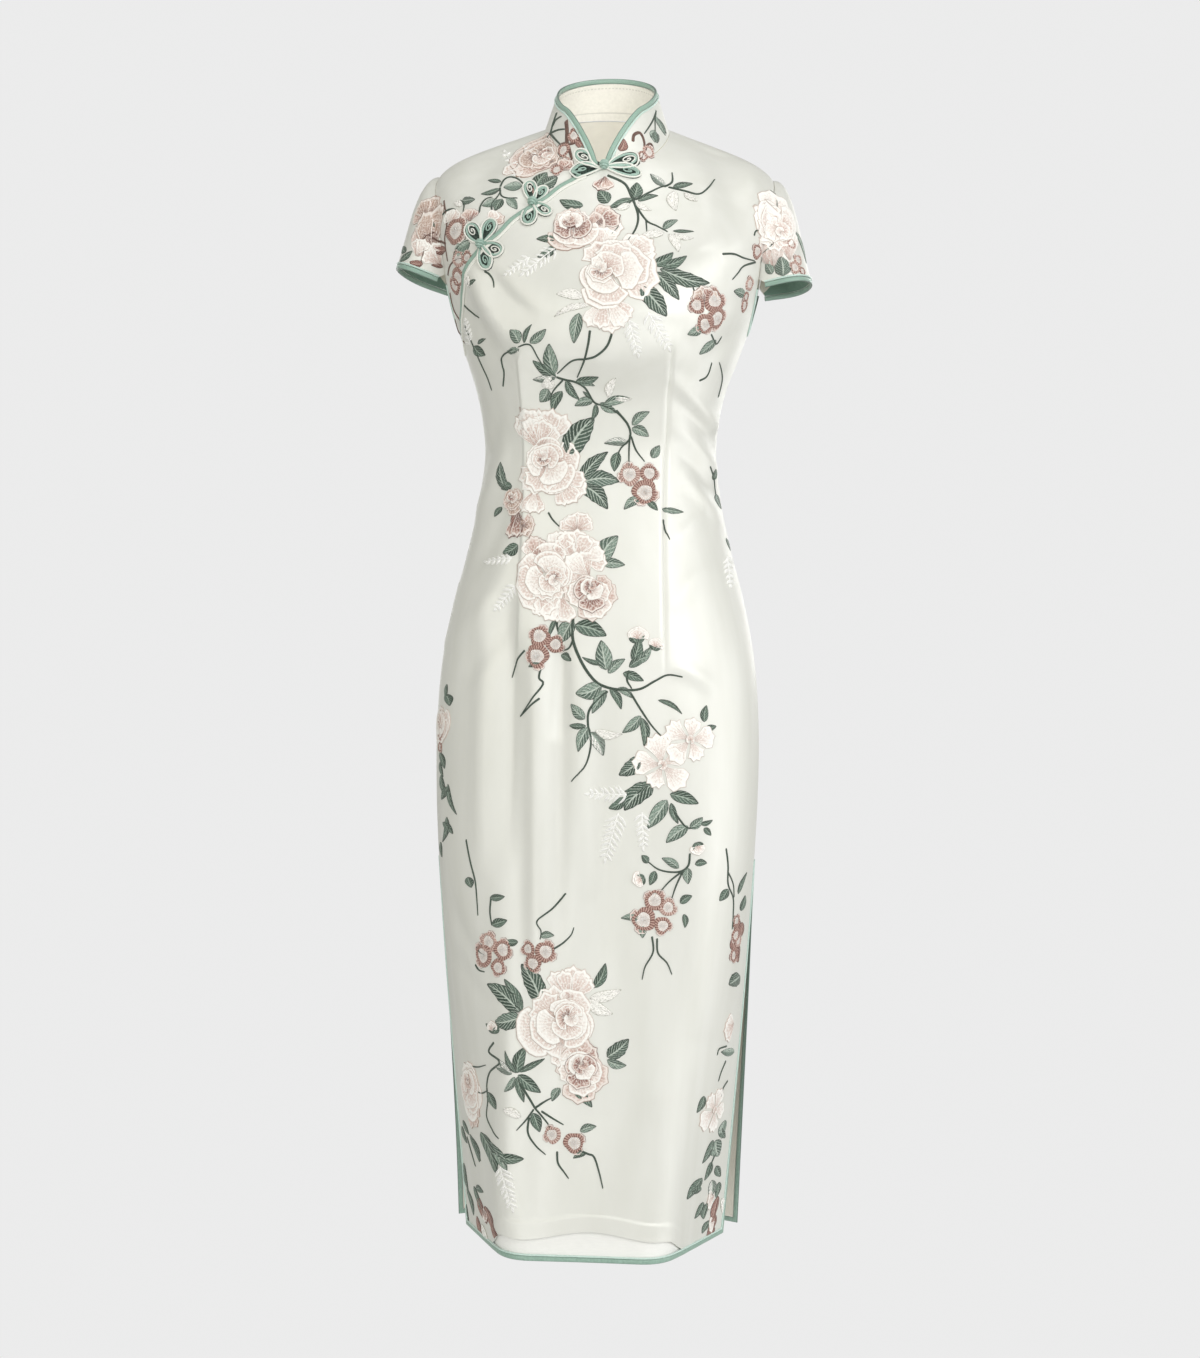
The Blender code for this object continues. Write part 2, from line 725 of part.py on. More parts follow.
def add_frog(name, share, level, rise, angle, size, ground, holder):
    points, normals = body_row(FRONT, level, [share])
    centre, normal = points[0], normals[0]
    across = np.array([1.0, 0, 0]) - normal * normal[0]
    across /= np.linalg.norm(across)
    along = np.cross(normal, across)
    centre = centre + along * rise
    turn = math.radians(angle)
    frame = (
        across * math.cos(turn) + along * math.sin(turn),
        along * math.cos(turn) - across * math.sin(turn),
    )
    upper = np.array(FROG_CORD)
    run = np.concatenate([upper, [FROG_TURN], upper[::-1] * (1, -1)]) * 0.001 * size
    radius = CORD / 2
    for side, label in ((-1, "right"), (1, "left")):
        flat = spline(run, 33)
        places = [centre + frame[0] * a * side + frame[1] * b for a, b in flat]
        heights = np.array([lying_height(ground, p, normal, frame, radius + 0.001) for p in places])
        eased = np.convolve(np.pad(heights, 1, mode="edge"), (0.25, 0.5, 0.25), "valid")
        heights = np.maximum(heights, eased)
        path = np.array([p + normal * (h + radius + GAP) for p, h in zip(places, heights)])
        swept(f"{name}_{label}", cord_rings(path, normal, radius), holder)
    height = lying_height(ground, centre, normal, frame, KNOT_RADIUS)
    knot = centre + normal * (height + KNOT_RADIUS * 0.95 + GAP)
    knot_mesh(f"{name}_knot", knot, KNOT_RADIUS, holder)


def add_panels(dress):
    front, back, collar = front_grid(), back_grid(), collar_grid(0)
    made = [
        wall("front", *front, CLOTH, dress),
        wall("under_front", *underlap_grid(), CLOTH, dress),
        wall("collar", *collar, CLOTH, dress),
    ]
    wall("back", *back, CLOTH, dress)
    wall("hem_underlay", *underlay_grid(), LINING, dress)
    wall("collar_facing", *collar_grid(CLOTH + GAP, rows=3), LINING, dress)
    made.append(binding("placket_binding", placket_edge(front), dress))
    made.append(binding("collar_binding", collar_edge(collar), dress))
    binding("front_binding", slit_and_hem_edge(FRONT, front), dress)
    binding("back_binding", slit_and_hem_edge(BACK, back), dress)
    return made


def turned(edge):
    return edge[0][::-1], edge[1][::-1]


def add_sleeve(side, label, dress):
    grid, normals = sleeve_grid(side)
    wall(f"sleeve_{label}", grid, normals, CLOTH, dress)
    hem = (grid[-1], normals[-1])
    low = armhole_rim(side, ARMHOLE_LEVELS[::-1])
    binding(f"sleeve_binding_{label}", turned(hem) if side == RIGHT else hem, dress)
    binding(f"armhole_binding_{label}", low if side == RIGHT else turned(low), dress)


def build():
    for obj in list(bpy.data.objects):
        bpy.data.objects.remove(obj)
    dress = collection("cheongsam")
    made = add_panels(dress)
    add_sleeve(RIGHT, "right", dress)
    add_sleeve(LEFT, "left", dress)
    ground = ground_under(made)
    for frog in FROGS:
        add_frog(*frog, ground, dress)


build()
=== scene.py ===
"""The cheongsam's look: satin panels with their folds, bound edges, frogs and embroidery.

Metres, in the row frame: +Z up, the dress faces -Y, +X is the wearer's left.
"""

import math
from collections import namedtuple
from functools import lru_cache

import bmesh
import bpy
import numpy as np
from mathutils import Matrix, Vector
from mathutils.bvhtree import BVHTree


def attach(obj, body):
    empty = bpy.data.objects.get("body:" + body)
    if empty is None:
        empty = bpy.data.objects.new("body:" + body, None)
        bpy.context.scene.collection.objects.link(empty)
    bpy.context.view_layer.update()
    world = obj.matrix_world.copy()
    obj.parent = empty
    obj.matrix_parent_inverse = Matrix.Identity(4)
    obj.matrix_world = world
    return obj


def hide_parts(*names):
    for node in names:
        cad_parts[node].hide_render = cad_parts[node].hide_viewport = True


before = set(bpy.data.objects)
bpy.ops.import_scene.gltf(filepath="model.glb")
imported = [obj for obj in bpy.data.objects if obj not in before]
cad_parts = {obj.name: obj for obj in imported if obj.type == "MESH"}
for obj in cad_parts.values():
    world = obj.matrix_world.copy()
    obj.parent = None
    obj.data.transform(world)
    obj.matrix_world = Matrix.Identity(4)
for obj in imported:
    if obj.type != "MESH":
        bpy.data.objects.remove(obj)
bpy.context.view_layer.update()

# ---------------------------------------------------------------- the camera

PHOTO_WIDTH, PHOTO_HEIGHT = 1200, 1358
CAMERA_DISTANCE = 2.1
CAMERA_Z = -0.5777
CAMERA_TURN = math.radians(4.7)  # towards the wearer's left
CAMERA_ROLL = math.radians(0.57)
CAMERA_LENS = 52.5
CAMERA_NEAR = 0.05
SENSOR = 36.0
FOCAL_PIXELS = CAMERA_LENS / SENSOR * PHOTO_HEIGHT
AXIS_PIXEL = 598.0  # the photograph's column that the dress's centre line stands on
TURN_SINE, TURN_COSINE = math.sin(CAMERA_TURN), math.cos(CAMERA_TURN)
ROLL_SINE, ROLL_COSINE = math.sin(CAMERA_ROLL), math.cos(CAMERA_ROLL)
CAMERA_PLACE = (CAMERA_DISTANCE * TURN_SINE, -CAMERA_DISTANCE * TURN_COSINE, CAMERA_Z)

# ---------------------------------------------------------------- the dress's form

FRONT, BACK = -1, 1
RIGHT, LEFT = 0, 1  # the wearer's sides, as the shares of their seams

# Cloth and trim
CLOTH = 0.0016  # satin with its lining
LINING = 0.0010  # one layer of lining
GAP = 0.0003  # between neighbouring pieces
SLEEVE_GAP = 0.0013  # where the sleeves turn off the armholes
BINDING_WIDTH = 0.0052
BINDING_THICKNESS = 0.0027
UNDERLAP_DROP = 0.0027  # how far the underlap's face lies below the front's
UNDERLAP_WIDTH = 0.028  # hidden below the front

# Heights below the shoulder points
HEM_Z = -1.166
SLIT_TOP_Z = -0.755
ARMPIT_Z = -0.210
HEM_LEVEL = HEM_Z - ARMPIT_Z
SLIT_LEVEL = SLIT_TOP_Z - ARMPIT_Z
ABOVE_HEM = HEM_LEVEL + BINDING_WIDTH + GAP  # where the panels end above the hem's binding
SLIT_TURN = 0.012  # the height over which an edge turns from the seam to the slit's binding

# The body's horizontal sections, from the armpits down.
# Columns: height, half width, front depth, back depth, fullness (0.55 is an ellipse)
SECTIONS = np.array(
    [
        (-0.210, 0.1535, 0.1220, 0.1000, 0.62),
        (-0.240, 0.1436, 0.1185, 0.0960, 0.62),
        (-0.271, 0.1328, 0.1060, 0.0905, 0.61),
        (-0.303, 0.1256, 0.0935, 0.0845, 0.60),
        (-0.335, 0.1226, 0.0860, 0.0800, 0.59),
        (-0.372, 0.1255, 0.0860, 0.0825, 0.59),
        (-0.430, 0.1364, 0.0940, 0.0930, 0.60),
        (-0.494, 0.1532, 0.1030, 0.1080, 0.61),
        (-0.558, 0.1652, 0.1090, 0.1190, 0.62),
        (-0.630, 0.1704, 0.1130, 0.1230, 0.62),
        (-0.700, 0.1700, 0.1155, 0.1190, 0.62),
        (-0.780, 0.1664, 0.1165, 0.1130, 0.61),
        (-0.900, 0.1622, 0.1150, 0.1070, 0.60),
        (-1.030, 0.1570, 0.1110, 0.1020, 0.60),
        (-1.166, 0.1515, 0.1070, 0.0980, 0.60),
    ]
)

# Below the slits the panels part, and each turns at a soft corner between its flat middle and
# its sides. Half width of the hem, of its flat middle, how far behind the side line the slit
# edges hang, and the corner's radius
HEM_FORM = {FRONT: (0.1380, 0.0800, 0.020, 0.026), BACK: (0.1530, 0.0890, 0.062, 0.030)}
SWING_POWER = 1.3

# Soft vertical folds. Columns: face, distance from the centre line, top, bottom, rise, half width
FOLDS = (
    (FRONT, -0.066, -0.52, -1.02, -0.0022, 0.014),
    (FRONT, 0.004, -0.55, -1.00, -0.0020, 0.018),
    (FRONT, 0.083, -0.60, -1.12, -0.0016, 0.020),
    (FRONT, -0.100, -0.95, -1.20, 0.0020, 0.012),
    (BACK, -0.060, -0.66, -1.12, -0.0024, 0.020),
    (BACK, 0.052, -0.62, -1.14, -0.0022, 0.018),
)
FOLD_FADE = 0.16  # at both ends

# The front's satin ends above the bound hem, and a strip of lining shows below it
HEM_SHOW = 0.0215
HEM_SHOW_REACH = (0.082, 0.122)  # full rise up to here, and none from here, from the centre
HEM_WAVE, HEM_WAVE_START, HEM_WAVE_TURNS = 0.0052, 0.03, 42  # turns in radians per metre
UNDERLAY_TOP_Z = -1.116

# Neck and collar rings: half width, front depth, back depth
NECK_RING = (0.0665, 0.0650, 0.0520)
COLLAR_RING = (0.0525, 0.0585, 0.0405)
NECK_TILT = 0.68  # rise of the neck ring from front to back, per metre of depth
NECK_SAG = 0.20  # how the ring's front and back sink below that plane
NECK_SOFT = 0.02  # this near to its sides, that sets in softly
COLLAR_SIDE_Z = 0.0435
COLLAR_TILT = 0.655
COLLAR_END = 0.0078  # from the centre front
COLLAR_CORNER = 0.046  # length of the rounded front corners
COLLAR_CORNER_POWER = 1.55
COLLAR_LEAST = 0.10  # its height at those corners, as a share
COLLAR_STEPS = 200  # along which it is measured

LEAN_TILT = 0.022
LEAN_SHIFT = 0.011
LEAN_FROM_Z = -0.29
LEAN_BLEND = 0.1

# Curve handles between the armpits' level and the neck: outward or forward reach, and rise
SIDE_LOW, SIDE_HIGH = (0.0540, 0.178), (0.134, -0.041)
FRONT_LOW, FRONT_HIGH = (-0.005, 0.050), (0.014, -0.052)
BACK_LOW, BACK_HIGH = (0.003, 0.080), (0.034, -0.040)

SHOULDER_LEVEL = 0.55  # where the armhole meets the shoulder seam
ARMHOLE_DEPTH = {FRONT: 0.112, BACK: 0.100}  # as a share of the panel's width
ARMHOLE_POWER = 0.72

# The opening's edge, from the right side seam to the centre front. Columns: level, share
PLACKET = np.array(
    [
        (1.00, 0.500),
        (0.95, 0.434),
        (0.87, 0.380),
        (0.71, 0.342),
        (0.50, 0.304),
        (0.35, 0.282),
        (0.21, 0.236),
        (0.12, 0.194),
        (0.06, 0.158),
        (0.00, 0.112),
        (-0.02, 0.072),
        (-0.045, 0.000),
    ]
)

# Cap sleeves: hem ends and tip as distances outward, backward and up from the origin
SLEEVE_FRONT_END = (0.1705, -0.036, -0.1615)
SLEEVE_TIP = {RIGHT: (0.2200, 0.002, -0.1440), LEFT: (0.2190, 0.002, -0.1520)}
SLEEVE_BACK_END = (0.1705, 0.033, -0.1625)
SLEEVE_MOUTH_BULGE = 0.012  # the mouth is rounder than its ends alone


def smooth(x):
    x = np.clip(x, 0.0, 1.0)
    return x * x * (3 - 2 * x)


def through(table, column, at):
    """A smooth curve through a table whose first column falls."""
    xs = table[::-1, 0]
    ys = table[::-1, column]
    slopes = np.gradient(ys, xs)
    at = min(max(at, xs[0]), xs[-1])
    k = min(max(int(np.searchsorted(xs, at)) - 1, 0), len(xs) - 2)
    span = xs[k + 1] - xs[k]
    u = (at - xs[k]) / span
    start = (1 + 2 * u) * (1 - u) ** 2 * ys[k] + u * (1 - u) ** 2 * span * slopes[k]
    end = u * u * (3 - 2 * u) * ys[k + 1] + u * u * (u - 1) * span * slopes[k + 1]
    return start + end


def bezier(p0, p1, p2, p3, t):
    u = 1 - t
    return u**3 * p0 + 3 * u * u * t * p1 + 3 * u * t * t * p2 + t**3 * p3


def unit(vectors):
    return vectors / np.linalg.norm(vectors, axis=-1)[..., None]


def columns(*values):
    return np.stack(np.broadcast_arrays(*values), axis=-1).astype(float)


def distance_along(points):
    """How far each point of a polyline lies from its start, along it."""
    steps = np.linalg.norm(np.diff(points, axis=0), axis=1)
    return np.concatenate([[0.0], np.cumsum(steps)])


CURVE_STEPS, CORNER_STEPS, EVEN_STEPS = 60, 20, 121  # points along half a section


def evened(points, count=EVEN_STEPS):
    """A polyline's points, spaced evenly along it, and its length."""
    along = distance_along(points)
    even = np.linspace(0, along[-1], count)
    return np.stack([np.interp(even, along, points[:, i]) for i in range(2)], axis=1), along[-1]


def rounded_half(face, width, depth, fullness):
    """Half a section, as one curve from the side seam to the centre line."""
    t = np.linspace(0, 1, CURVE_STEPS)[:, None]
    side = np.array([width, 0.0])
    centre = np.array([0.0, face * depth])
    forward, outward = (0, face * fullness * depth), (fullness * width, 0)
    return bezier(side, side + forward, centre + outward, centre, t)


def cornered_half(face, width, flat, edge_back, radius, depth):
    """Half a hem section, with a soft corner between its flat middle and its side."""
    edge = np.array([width, edge_back])
    corner = np.array([flat, face * depth])
    centre = np.array([0.0, face * depth])
    start = corner + (edge - corner) / np.linalg.norm(edge - corner) * radius
    end = corner + (centre - corner) / np.linalg.norm(centre - corner) * radius
    t = np.linspace(0, 1, CORNER_STEPS)[:, None]
    turn = (1 - t) ** 2 * start + 2 * t * (1 - t) * corner + t * t * end
    return np.concatenate([edge[None], turn, centre[None]])


@lru_cache(maxsize=None)
def section(face, level):
    """A horizontal section below the armpits, from the right side to the left, and its length."""
    z = ARMPIT_Z + level
    width = through(SECTIONS, 1, z)
    depth = through(SECTIONS, 2 if face == FRONT else 3, z)
    fullness = through(SECTIONS, 4, z)
    hem_width, flat, edge_back, radius = HEM_FORM[face]
    swing = max((SLIT_TOP_Z - z) / (SLIT_TOP_Z - HEM_Z), 0.0) ** SWING_POWER
    width += (hem_width - SECTIONS[-1, 1]) * swing
    half, _ = evened(rounded_half(face, width, depth, fullness))
    if swing > 0:
        cornered, _ = evened(cornered_half(face, width, flat, edge_back, radius, depth))
        half = half + (cornered - half) * swing
        half[:, 1] += edge_back * (1 - swing) * swing * np.linspace(1, 0, len(half)) ** 2
    half, length = evened(half)
    whole = np.concatenate([half * (-1, 1), half[-2::-1]])
    return whole, 2 * length


def section_length(face, level):
    """A panel's width at a level, side seam to side seam. Above the armpits it's theirs."""
    return section(face, round(min(level, 0.0), 6))[1]


def torso_row(face, level, shares):
    points, _ = section(face, round(level, 6))
    at = np.linspace(0, 1, len(points))
    return columns(np.interp(shares, at, points[:, 0]), np.interp(shares, at, points[:, 1]), ARMPIT_Z + level)


def neck_height(y):
    return NECK_TILT * y - NECK_SAG * (np.sqrt(y * y + NECK_SOFT**2) - NECK_SOFT)


def yoke_row(face, level, shares):
    """Across the chest or the shoulder blades, between the armpits' level and the neck seam."""
    turn = np.cos(np.pi * shares)
    side = turn * turn
    middle = 1 - side
    outward = -turn * np.abs(turn)
    chest = torso_row(face, 0.0, shares)
    neck_y = face * NECK_RING[1 if face == FRONT else 2] * np.sin(np.pi * shares)
    neck = columns(-NECK_RING[0] * turn, neck_y, neck_height(neck_y))
    low, high = (FRONT_LOW, FRONT_HIGH) if face == FRONT else (BACK_LOW, BACK_HIGH)

    def handle(at_side, at_middle):
        rise = side * at_side[1] + middle * at_middle[1]
        return columns(outward * at_side[0], face * middle * at_middle[0], rise)

    return bezier(chest, chest + handle(SIDE_LOW, low), neck + handle(SIDE_HIGH, high), neck, level)


def leaned(points):
    """The upper body leans a little to the wearer's left, whose shoulder hangs lower."""
    above = np.maximum(points[..., 2] - LEAN_FROM_Z, 0)
    x = points[..., 0] + LEAN_SHIFT * above
    z = points[..., 2] - LEAN_TILT * points[..., 0] * smooth(above / LEAN_BLEND)
    return columns(x, points[..., 1], z)


def plain_row(face, level, shares):
    row = torso_row(face, level, shares) if level <= 0 else yoke_row(face, level, shares)
    return leaned(row)


def row_normals(face, level, shares):
    """The outward directions along one row of the body."""
    step = 0.004
    low, high = np.clip(shares - step, 0, 1), np.clip(shares + step, 0, 1)
    across = plain_row(face, level, high) - plain_row(face, level, low)
    up = plain_row(face, min(level + step, 1), shares) - plain_row(face, level - step, shares)
    normals = np.cross(across, up) * -face
    at_seam = (shares < 1e-6) | (shares > 1 - 1e-6)
    if level > SLIT_LEVEL:
        normals[at_seam, 1] = 0
    return unit(normals)


def fold_rise(face, level, shares):
    z = ARMPIT_Z + level
    across = (shares - 0.5) * section_length(face, level)
    rise = np.zeros(len(shares))
    for fold_face, centre, top, bottom, height, half_width in FOLDS:
        if fold_face == face:
            share = smooth((top - z) / FOLD_FADE) * smooth((z - bottom) / FOLD_FADE)
            rise += share * height * np.exp(-(((across - centre) / half_width) ** 2))
    return rise


def body_row(face, level, shares):
    """Points and outward directions of one row of the body's face."""
    shares = np.asarray(shares, float)
    normals = row_normals(face, level, shares)
    rise = fold_rise(face, level, shares)
    points = plain_row(face, level, shares) + normals * rise[:, None]
    return points, normals


def armhole(face, level):
    """The armhole's edge, as a share in from the side seam."""
    if level <= 0 or level >= SHOULDER_LEVEL:
        return 0.0
    return ARMHOLE_DEPTH[face] * math.sin(math.pi * level / SHOULDER_LEVEL) ** ARMHOLE_POWER


def seam_inset(face, level):
    """What a panel leaves at its side edges: half a gap at a seam, the binding's width at a slit."""
    at_slit = float(smooth((SLIT_LEVEL - level) / SLIT_TURN))
    return (GAP / 2 + (BINDING_WIDTH + GAP) * at_slit) / section_length(face, level)


def placket(level):
    return max(through(PLACKET, 1, level), 0.0)


def hem_rise(across):
    """How far above the binding the front's satin ends."""
    full, none = HEM_SHOW_REACH
    share = smooth((none - np.abs(across)) / (none - full))
    return share * (HEM_SHOW + HEM_WAVE * np.sin((across + HEM_WAVE_START) * HEM_WAVE_TURNS))


def ring(form, turn):
    """A neck ring at shares of a turn, from the centre front by the wearer's right."""
    half_width, front, back = form
    cosine = np.cos(2 * np.pi * turn)
    y = np.where(cosine > 0, -front * cosine, -back * cosine)
    return -half_width * np.sin(2 * np.pi * turn), y


def collar_point(turn, height):
    x0, y0 = ring(NECK_RING, turn)
    x1, y1 = ring(COLLAR_RING, turn)
    foot = leaned(columns(x0, y0, neck_height(y0)))
    top = columns(x1 - LEAN_SHIFT * LEAN_FROM_Z, y1, COLLAR_SIDE_Z + COLLAR_TILT * y1)
    return foot + (top - foot) * height[..., None]


def collar_length():
    points = collar_point(np.linspace(0, 1, COLLAR_STEPS), np.full(COLLAR_STEPS, 0.5))
    return float(np.linalg.norm(np.diff(points, axis=0), axis=1).sum())


def collar_rise(turn):
    """The collar's height as a share, rounded at its front corners."""
    from_end = np.minimum(turn, 1 - turn) * collar_length() - COLLAR_END
    x = np.clip(from_end / COLLAR_CORNER, 0.0, 1.0)
    rise = (1 - (1 - x) ** COLLAR_CORNER_POWER) ** (1 / COLLAR_CORNER_POWER)
    return np.maximum(rise, COLLAR_LEAST)


def edge_through(row, spots):
    """One point from each row of a face, with its outward direction."""
    found = [row(face, level, [share]) for face, level, share in spots]
    return tuple(np.concatenate(part) for part in zip(*found))


def side_share(face, level, side):
    """Where a panel's side edge lies."""
    edge = max(seam_inset(face, level), armhole(face, level))
    return edge if side == RIGHT else 1 - edge


def armhole_rim(side, levels):
    """An armhole's edge through these levels of the front, and back through them in the back."""
    runs = ((FRONT, levels), (BACK, levels[-2::-1]))
    spots = [(face, level, side_share(face, level, side)) for face, run in runs for level in run]
    return edge_through(body_row, spots)


SHARPEST_MITRE = 0.6  # as a cosine


def edge_directions(points, normals):
    """Directions off a panel's edge that runs with the panel on its left, seen from outside.

    They lie in its surface, and are long enough to mitre at corners.
    """
    steps = unit(np.diff(points, axis=0))
    before = np.concatenate([steps[:1], steps])
    after = np.concatenate([steps, steps[-1:]])
    tangent = unit(before + after)
    off = unit(np.cross(tangent, normals))
    mitre = np.clip(np.sum(tangent * after, axis=1), SHARPEST_MITRE, 1.0)
    return off / mitre[:, None]


# ---------------------------------------------------------------- creases


def pixels_of(points, behind=False):
    """The photograph's pixels that show these points, or those of a mirrored view from behind."""
    if behind:
        points = points * np.array([-1, -1, 1])
    place = points - np.array(CAMERA_PLACE)
    depth = place[..., 1] * TURN_COSINE - place[..., 0] * TURN_SINE
    u = (place[..., 0] * TURN_COSINE + place[..., 1] * TURN_SINE) / depth * FOCAL_PIXELS
    v = place[..., 2] / depth * FOCAL_PIXELS
    x = u * ROLL_COSINE + v * ROLL_SINE
    y = PHOTO_HEIGHT / 2 - (v * ROLL_COSINE - u * ROLL_SINE)
    return (AXIS_PIXEL - x if behind else AXIS_PIXEL + x), y


# Soft creases, by the pixels they run through; on the back they are a mirrored view from behind.
# Columns: from x, from y, to x, to y, bend, rise in crease units, half width
CREASES = {
    FRONT: (
        # drag lines at the waist and the ribs
        (664, 372, 748, 476, -7, 1.7, 6), (668, 396, 744, 490, -8, -1.7, 6),
        (670, 424, 740, 512, -8, 1.6, 6), (676, 452, 730, 520, -6, -1.5, 5),
        (682, 478, 722, 528, -4, 1.3, 5), (676, 540, 708, 500, 3, 1.2, 5), (470, 520, 508, 440, 5, 1.3, 6),
        (462, 500, 500, 410, 5, -1.4, 6),
        # from the hips up to the waist
        (446, 650, 512, 552, 8, 2.0, 11), (452, 690, 512, 596, 8, -1.8, 11),
        (460, 584, 506, 506, 6, -1.5, 9), (668, 664, 716, 692, -4, 1.2, 8),
        (716, 560, 672, 612, 4, 1.1, 9),
        # about the bust
        (462, 278, 506, 366, 6, -2.4, 8), (468, 262, 516, 346, 8, 2.6, 9),
        (484, 262, 536, 318, 6, -1.8, 8), (540, 350, 690, 352, 8, 1.6, 15),
        (560, 392, 672, 392, 4, -1.8, 22), (690, 340, 742, 300, -4, 1.6, 12),
        (704, 366, 748, 330, -4, -1.4, 9),
        # the shoulders
        (700, 128, 742, 240, -8, -1.4, 13), (724, 124, 762, 220, -8, 1.3, 11),
        (690, 150, 706, 250, -6, 1.1, 12), (500, 136, 444, 196, 6, 1.2, 12),
        (520, 140, 470, 200, 6, -1.1, 10),
        # the skirt
        (488, 592, 480, 880, 2, 2.2, 10), (512, 590, 507, 860, 0, -2.6, 9),
        (535, 600, 536, 980, 0, 2.6, 10), (560, 620, 556, 960, 0, -2.8, 11),
        (583, 650, 584, 900, 0, 1.6, 11), (562, 612, 558, 740, 0, -2.2, 8),
        (600, 690, 602, 990, 0, -2.6, 17), (640, 760, 640, 1080, 0, -1.0, 20),
        (690, 640, 704, 1040, 0, 1.3, 22), (446, 886, 480, 962, 4, -1.2, 6),
        (450, 940, 490, 1006, 4, -1.1, 6), (508, 1000, 502, 1240, 0, 1.8, 12),
        (540, 1060, 536, 1240, 0, -1.2, 14), (600, 1120, 604, 1240, 0, 1.2, 18),
        (650, 1100, 654, 1240, 0, -1.1, 16),
    ),
    BACK: (
        # shoulder blades, waist and skirt
        (470, 210, 560, 300, 12, 1.4, 12), (726, 210, 640, 300, -12, 1.4, 12),
        (500, 160, 690, 158, -8, -1.1, 14), (470, 300, 540, 380, 6, -1.6, 9),
        (466, 330, 532, 410, 6, 1.7, 9), (728, 300, 656, 380, -6, -1.6, 9),
        (732, 334, 662, 416, -6, 1.7, 9), (520, 452, 680, 448, 10, 2.0, 10),
        (528, 478, 672, 474, 8, -2.0, 9), (470, 480, 560, 500, 6, 1.6, 8),
        (730, 486, 640, 504, -6, 1.6, 8), (470, 512, 556, 524, 4, -1.5, 8),
        (728, 516, 644, 526, -4, -1.5, 8), (560, 660, 548, 1000, 0, 2.2, 14),
        (596, 700, 600, 1060, 0, -2.2, 15), (640, 670, 650, 1030, 0, 2.2, 14),
        (500, 640, 486, 960, 0, -1.8, 13), (700, 640, 712, 960, 0, -1.8, 13),
        (470, 620, 460, 860, 0, 1.4, 10), (728, 620, 738, 860, 0, 1.4, 10),
        (560, 1040, 566, 1240, 0, -1.5, 16), (636, 1060, 632, 1240, 0, 1.6, 16),
    ),
}
CREASE_UNIT = 0.0019  # in metres
CREASE_TAPER = 0.6  # how it sinks to its ends, as a power of a sine
SEAM_CALM = 0.020  # creases die away this near to a seam
NECK_CALM = 0.10  # and over this share of the way to the neck

# The front's long darts: distance from the centre line at the bust, waist and hip
DARTS = np.array([(-0.232, 0.0810), (-0.341, 0.0745), (-0.585, 0.0765)])
# The cloth turns at a dart, so it stands in a low ridge with a groove along the stitching.
# Columns: side, ridge, groove, and how far the cloth drops on the dart's outer side
DART_FORM = (
    (-1, 0.0046, 0.0006, 0.0024),
    (1, 0.0024, 0.0021, 0.0),
)
DART_FALL, GROOVE_HALF_WIDTH, DROP_WIDTH = 0.018, 0.0018, 0.0026
DART_POINT, DART_TOP_FADE, DART_LOW_FADE = 0.02, 0.05, 0.06  # how darts die away at their ends


def dart_place(z):
    return through(DARTS, 1, z)


def dart_fade(z):
    top, bottom = DARTS[0, 0], DARTS[-1, 0]
    upper, lower = (top + DART_POINT - z) / DART_TOP_FADE, (z - bottom) / DART_LOW_FADE
    return float(smooth(upper) * smooth(lower))


def dart_rise(level, shares):
    z = ARMPIT_Z + level
    across = (shares - 0.5) * section_length(FRONT, level)
    rise = np.zeros(len(shares))
    for side, ridge, groove, drop in DART_FORM:
        outward = side * across - dart_place(z)
        off = np.abs(outward)
        step = smooth(outward / DROP_WIDTH + 0.5) * np.exp(-np.maximum(outward, 0) / DART_FALL)
        rise += ridge * np.exp(-off / DART_FALL)
        rise -= groove * np.exp(-((off / GROOVE_HALF_WIDTH) ** 2))
        rise -= drop * step
    return rise * dart_fade(z)


def crease_rise(face, points):
    x, y = pixels_of(points, face == BACK)
    rise = np.zeros(len(points))
    for x0, y0, x1, y1, bend, height, half_width in CREASES[face]:
        run_x, run_y = x1 - x0, y1 - y0
        length = math.hypot(run_x, run_y)
        t = ((x - x0) * run_x + (y - y0) * run_y) / length**2
        off = ((y - y0) * run_x - (x - x0) * run_y) / length
        inside = np.clip(t, 0, 1)
        off = np.hypot(off - bend * 4 * inside * (1 - inside), (t - inside) * length)
        profile = np.exp(-((off / half_width) ** 2)) * np.sin(np.pi * inside) ** CREASE_TAPER
        rise += height * CREASE_UNIT * profile
    return rise


def calm(face, level, shares):
    """Creases die away towards the seams, the armholes and the neck."""
    edge = armhole(face, level)
    near = np.minimum(shares - edge, 1 - edge - shares) * section_length(face, level)
    return smooth(near / SEAM_CALM) * float(smooth((1 - level) / NECK_CALM))


def cloth_row(face, level, shares):
    shares = np.asarray(shares, float)
    points, normals = body_row(face, level, shares)
    rise = crease_rise(face, points) * calm(face, level, shares)
    if face == FRONT and level <= 0:
        rise = rise + dart_rise(level, shares)
    return points + normals * rise[:, None], normals


# ---------------------------------------------------------------- meshes

ROOT = "root"
TORSO_FINE, YOKE_FINE, COLUMNS_FINE = 190, 64, 96
PANEL_SHARP, CORD_SHARP = math.radians(50), math.radians(60)  # edges that turn more stay crisp


def stack(rows):
    points, normals = zip(*rows)
    return np.stack(points), np.stack(normals)


def fine_levels(low):
    """A panel's rows, from this level up to the neck."""
    torso = np.linspace(HEM_LEVEL, 0.0, TORSO_FINE)
    yoke = np.linspace(0.0, 1.0, YOKE_FINE)
    levels = np.unique(np.concatenate([torso, yoke, [low]]))
    return levels[levels >= low]


def in_scene(name, data):
    obj = bpy.data.objects.new(name, data)
    bpy.context.scene.collection.objects.link(obj)
    return obj


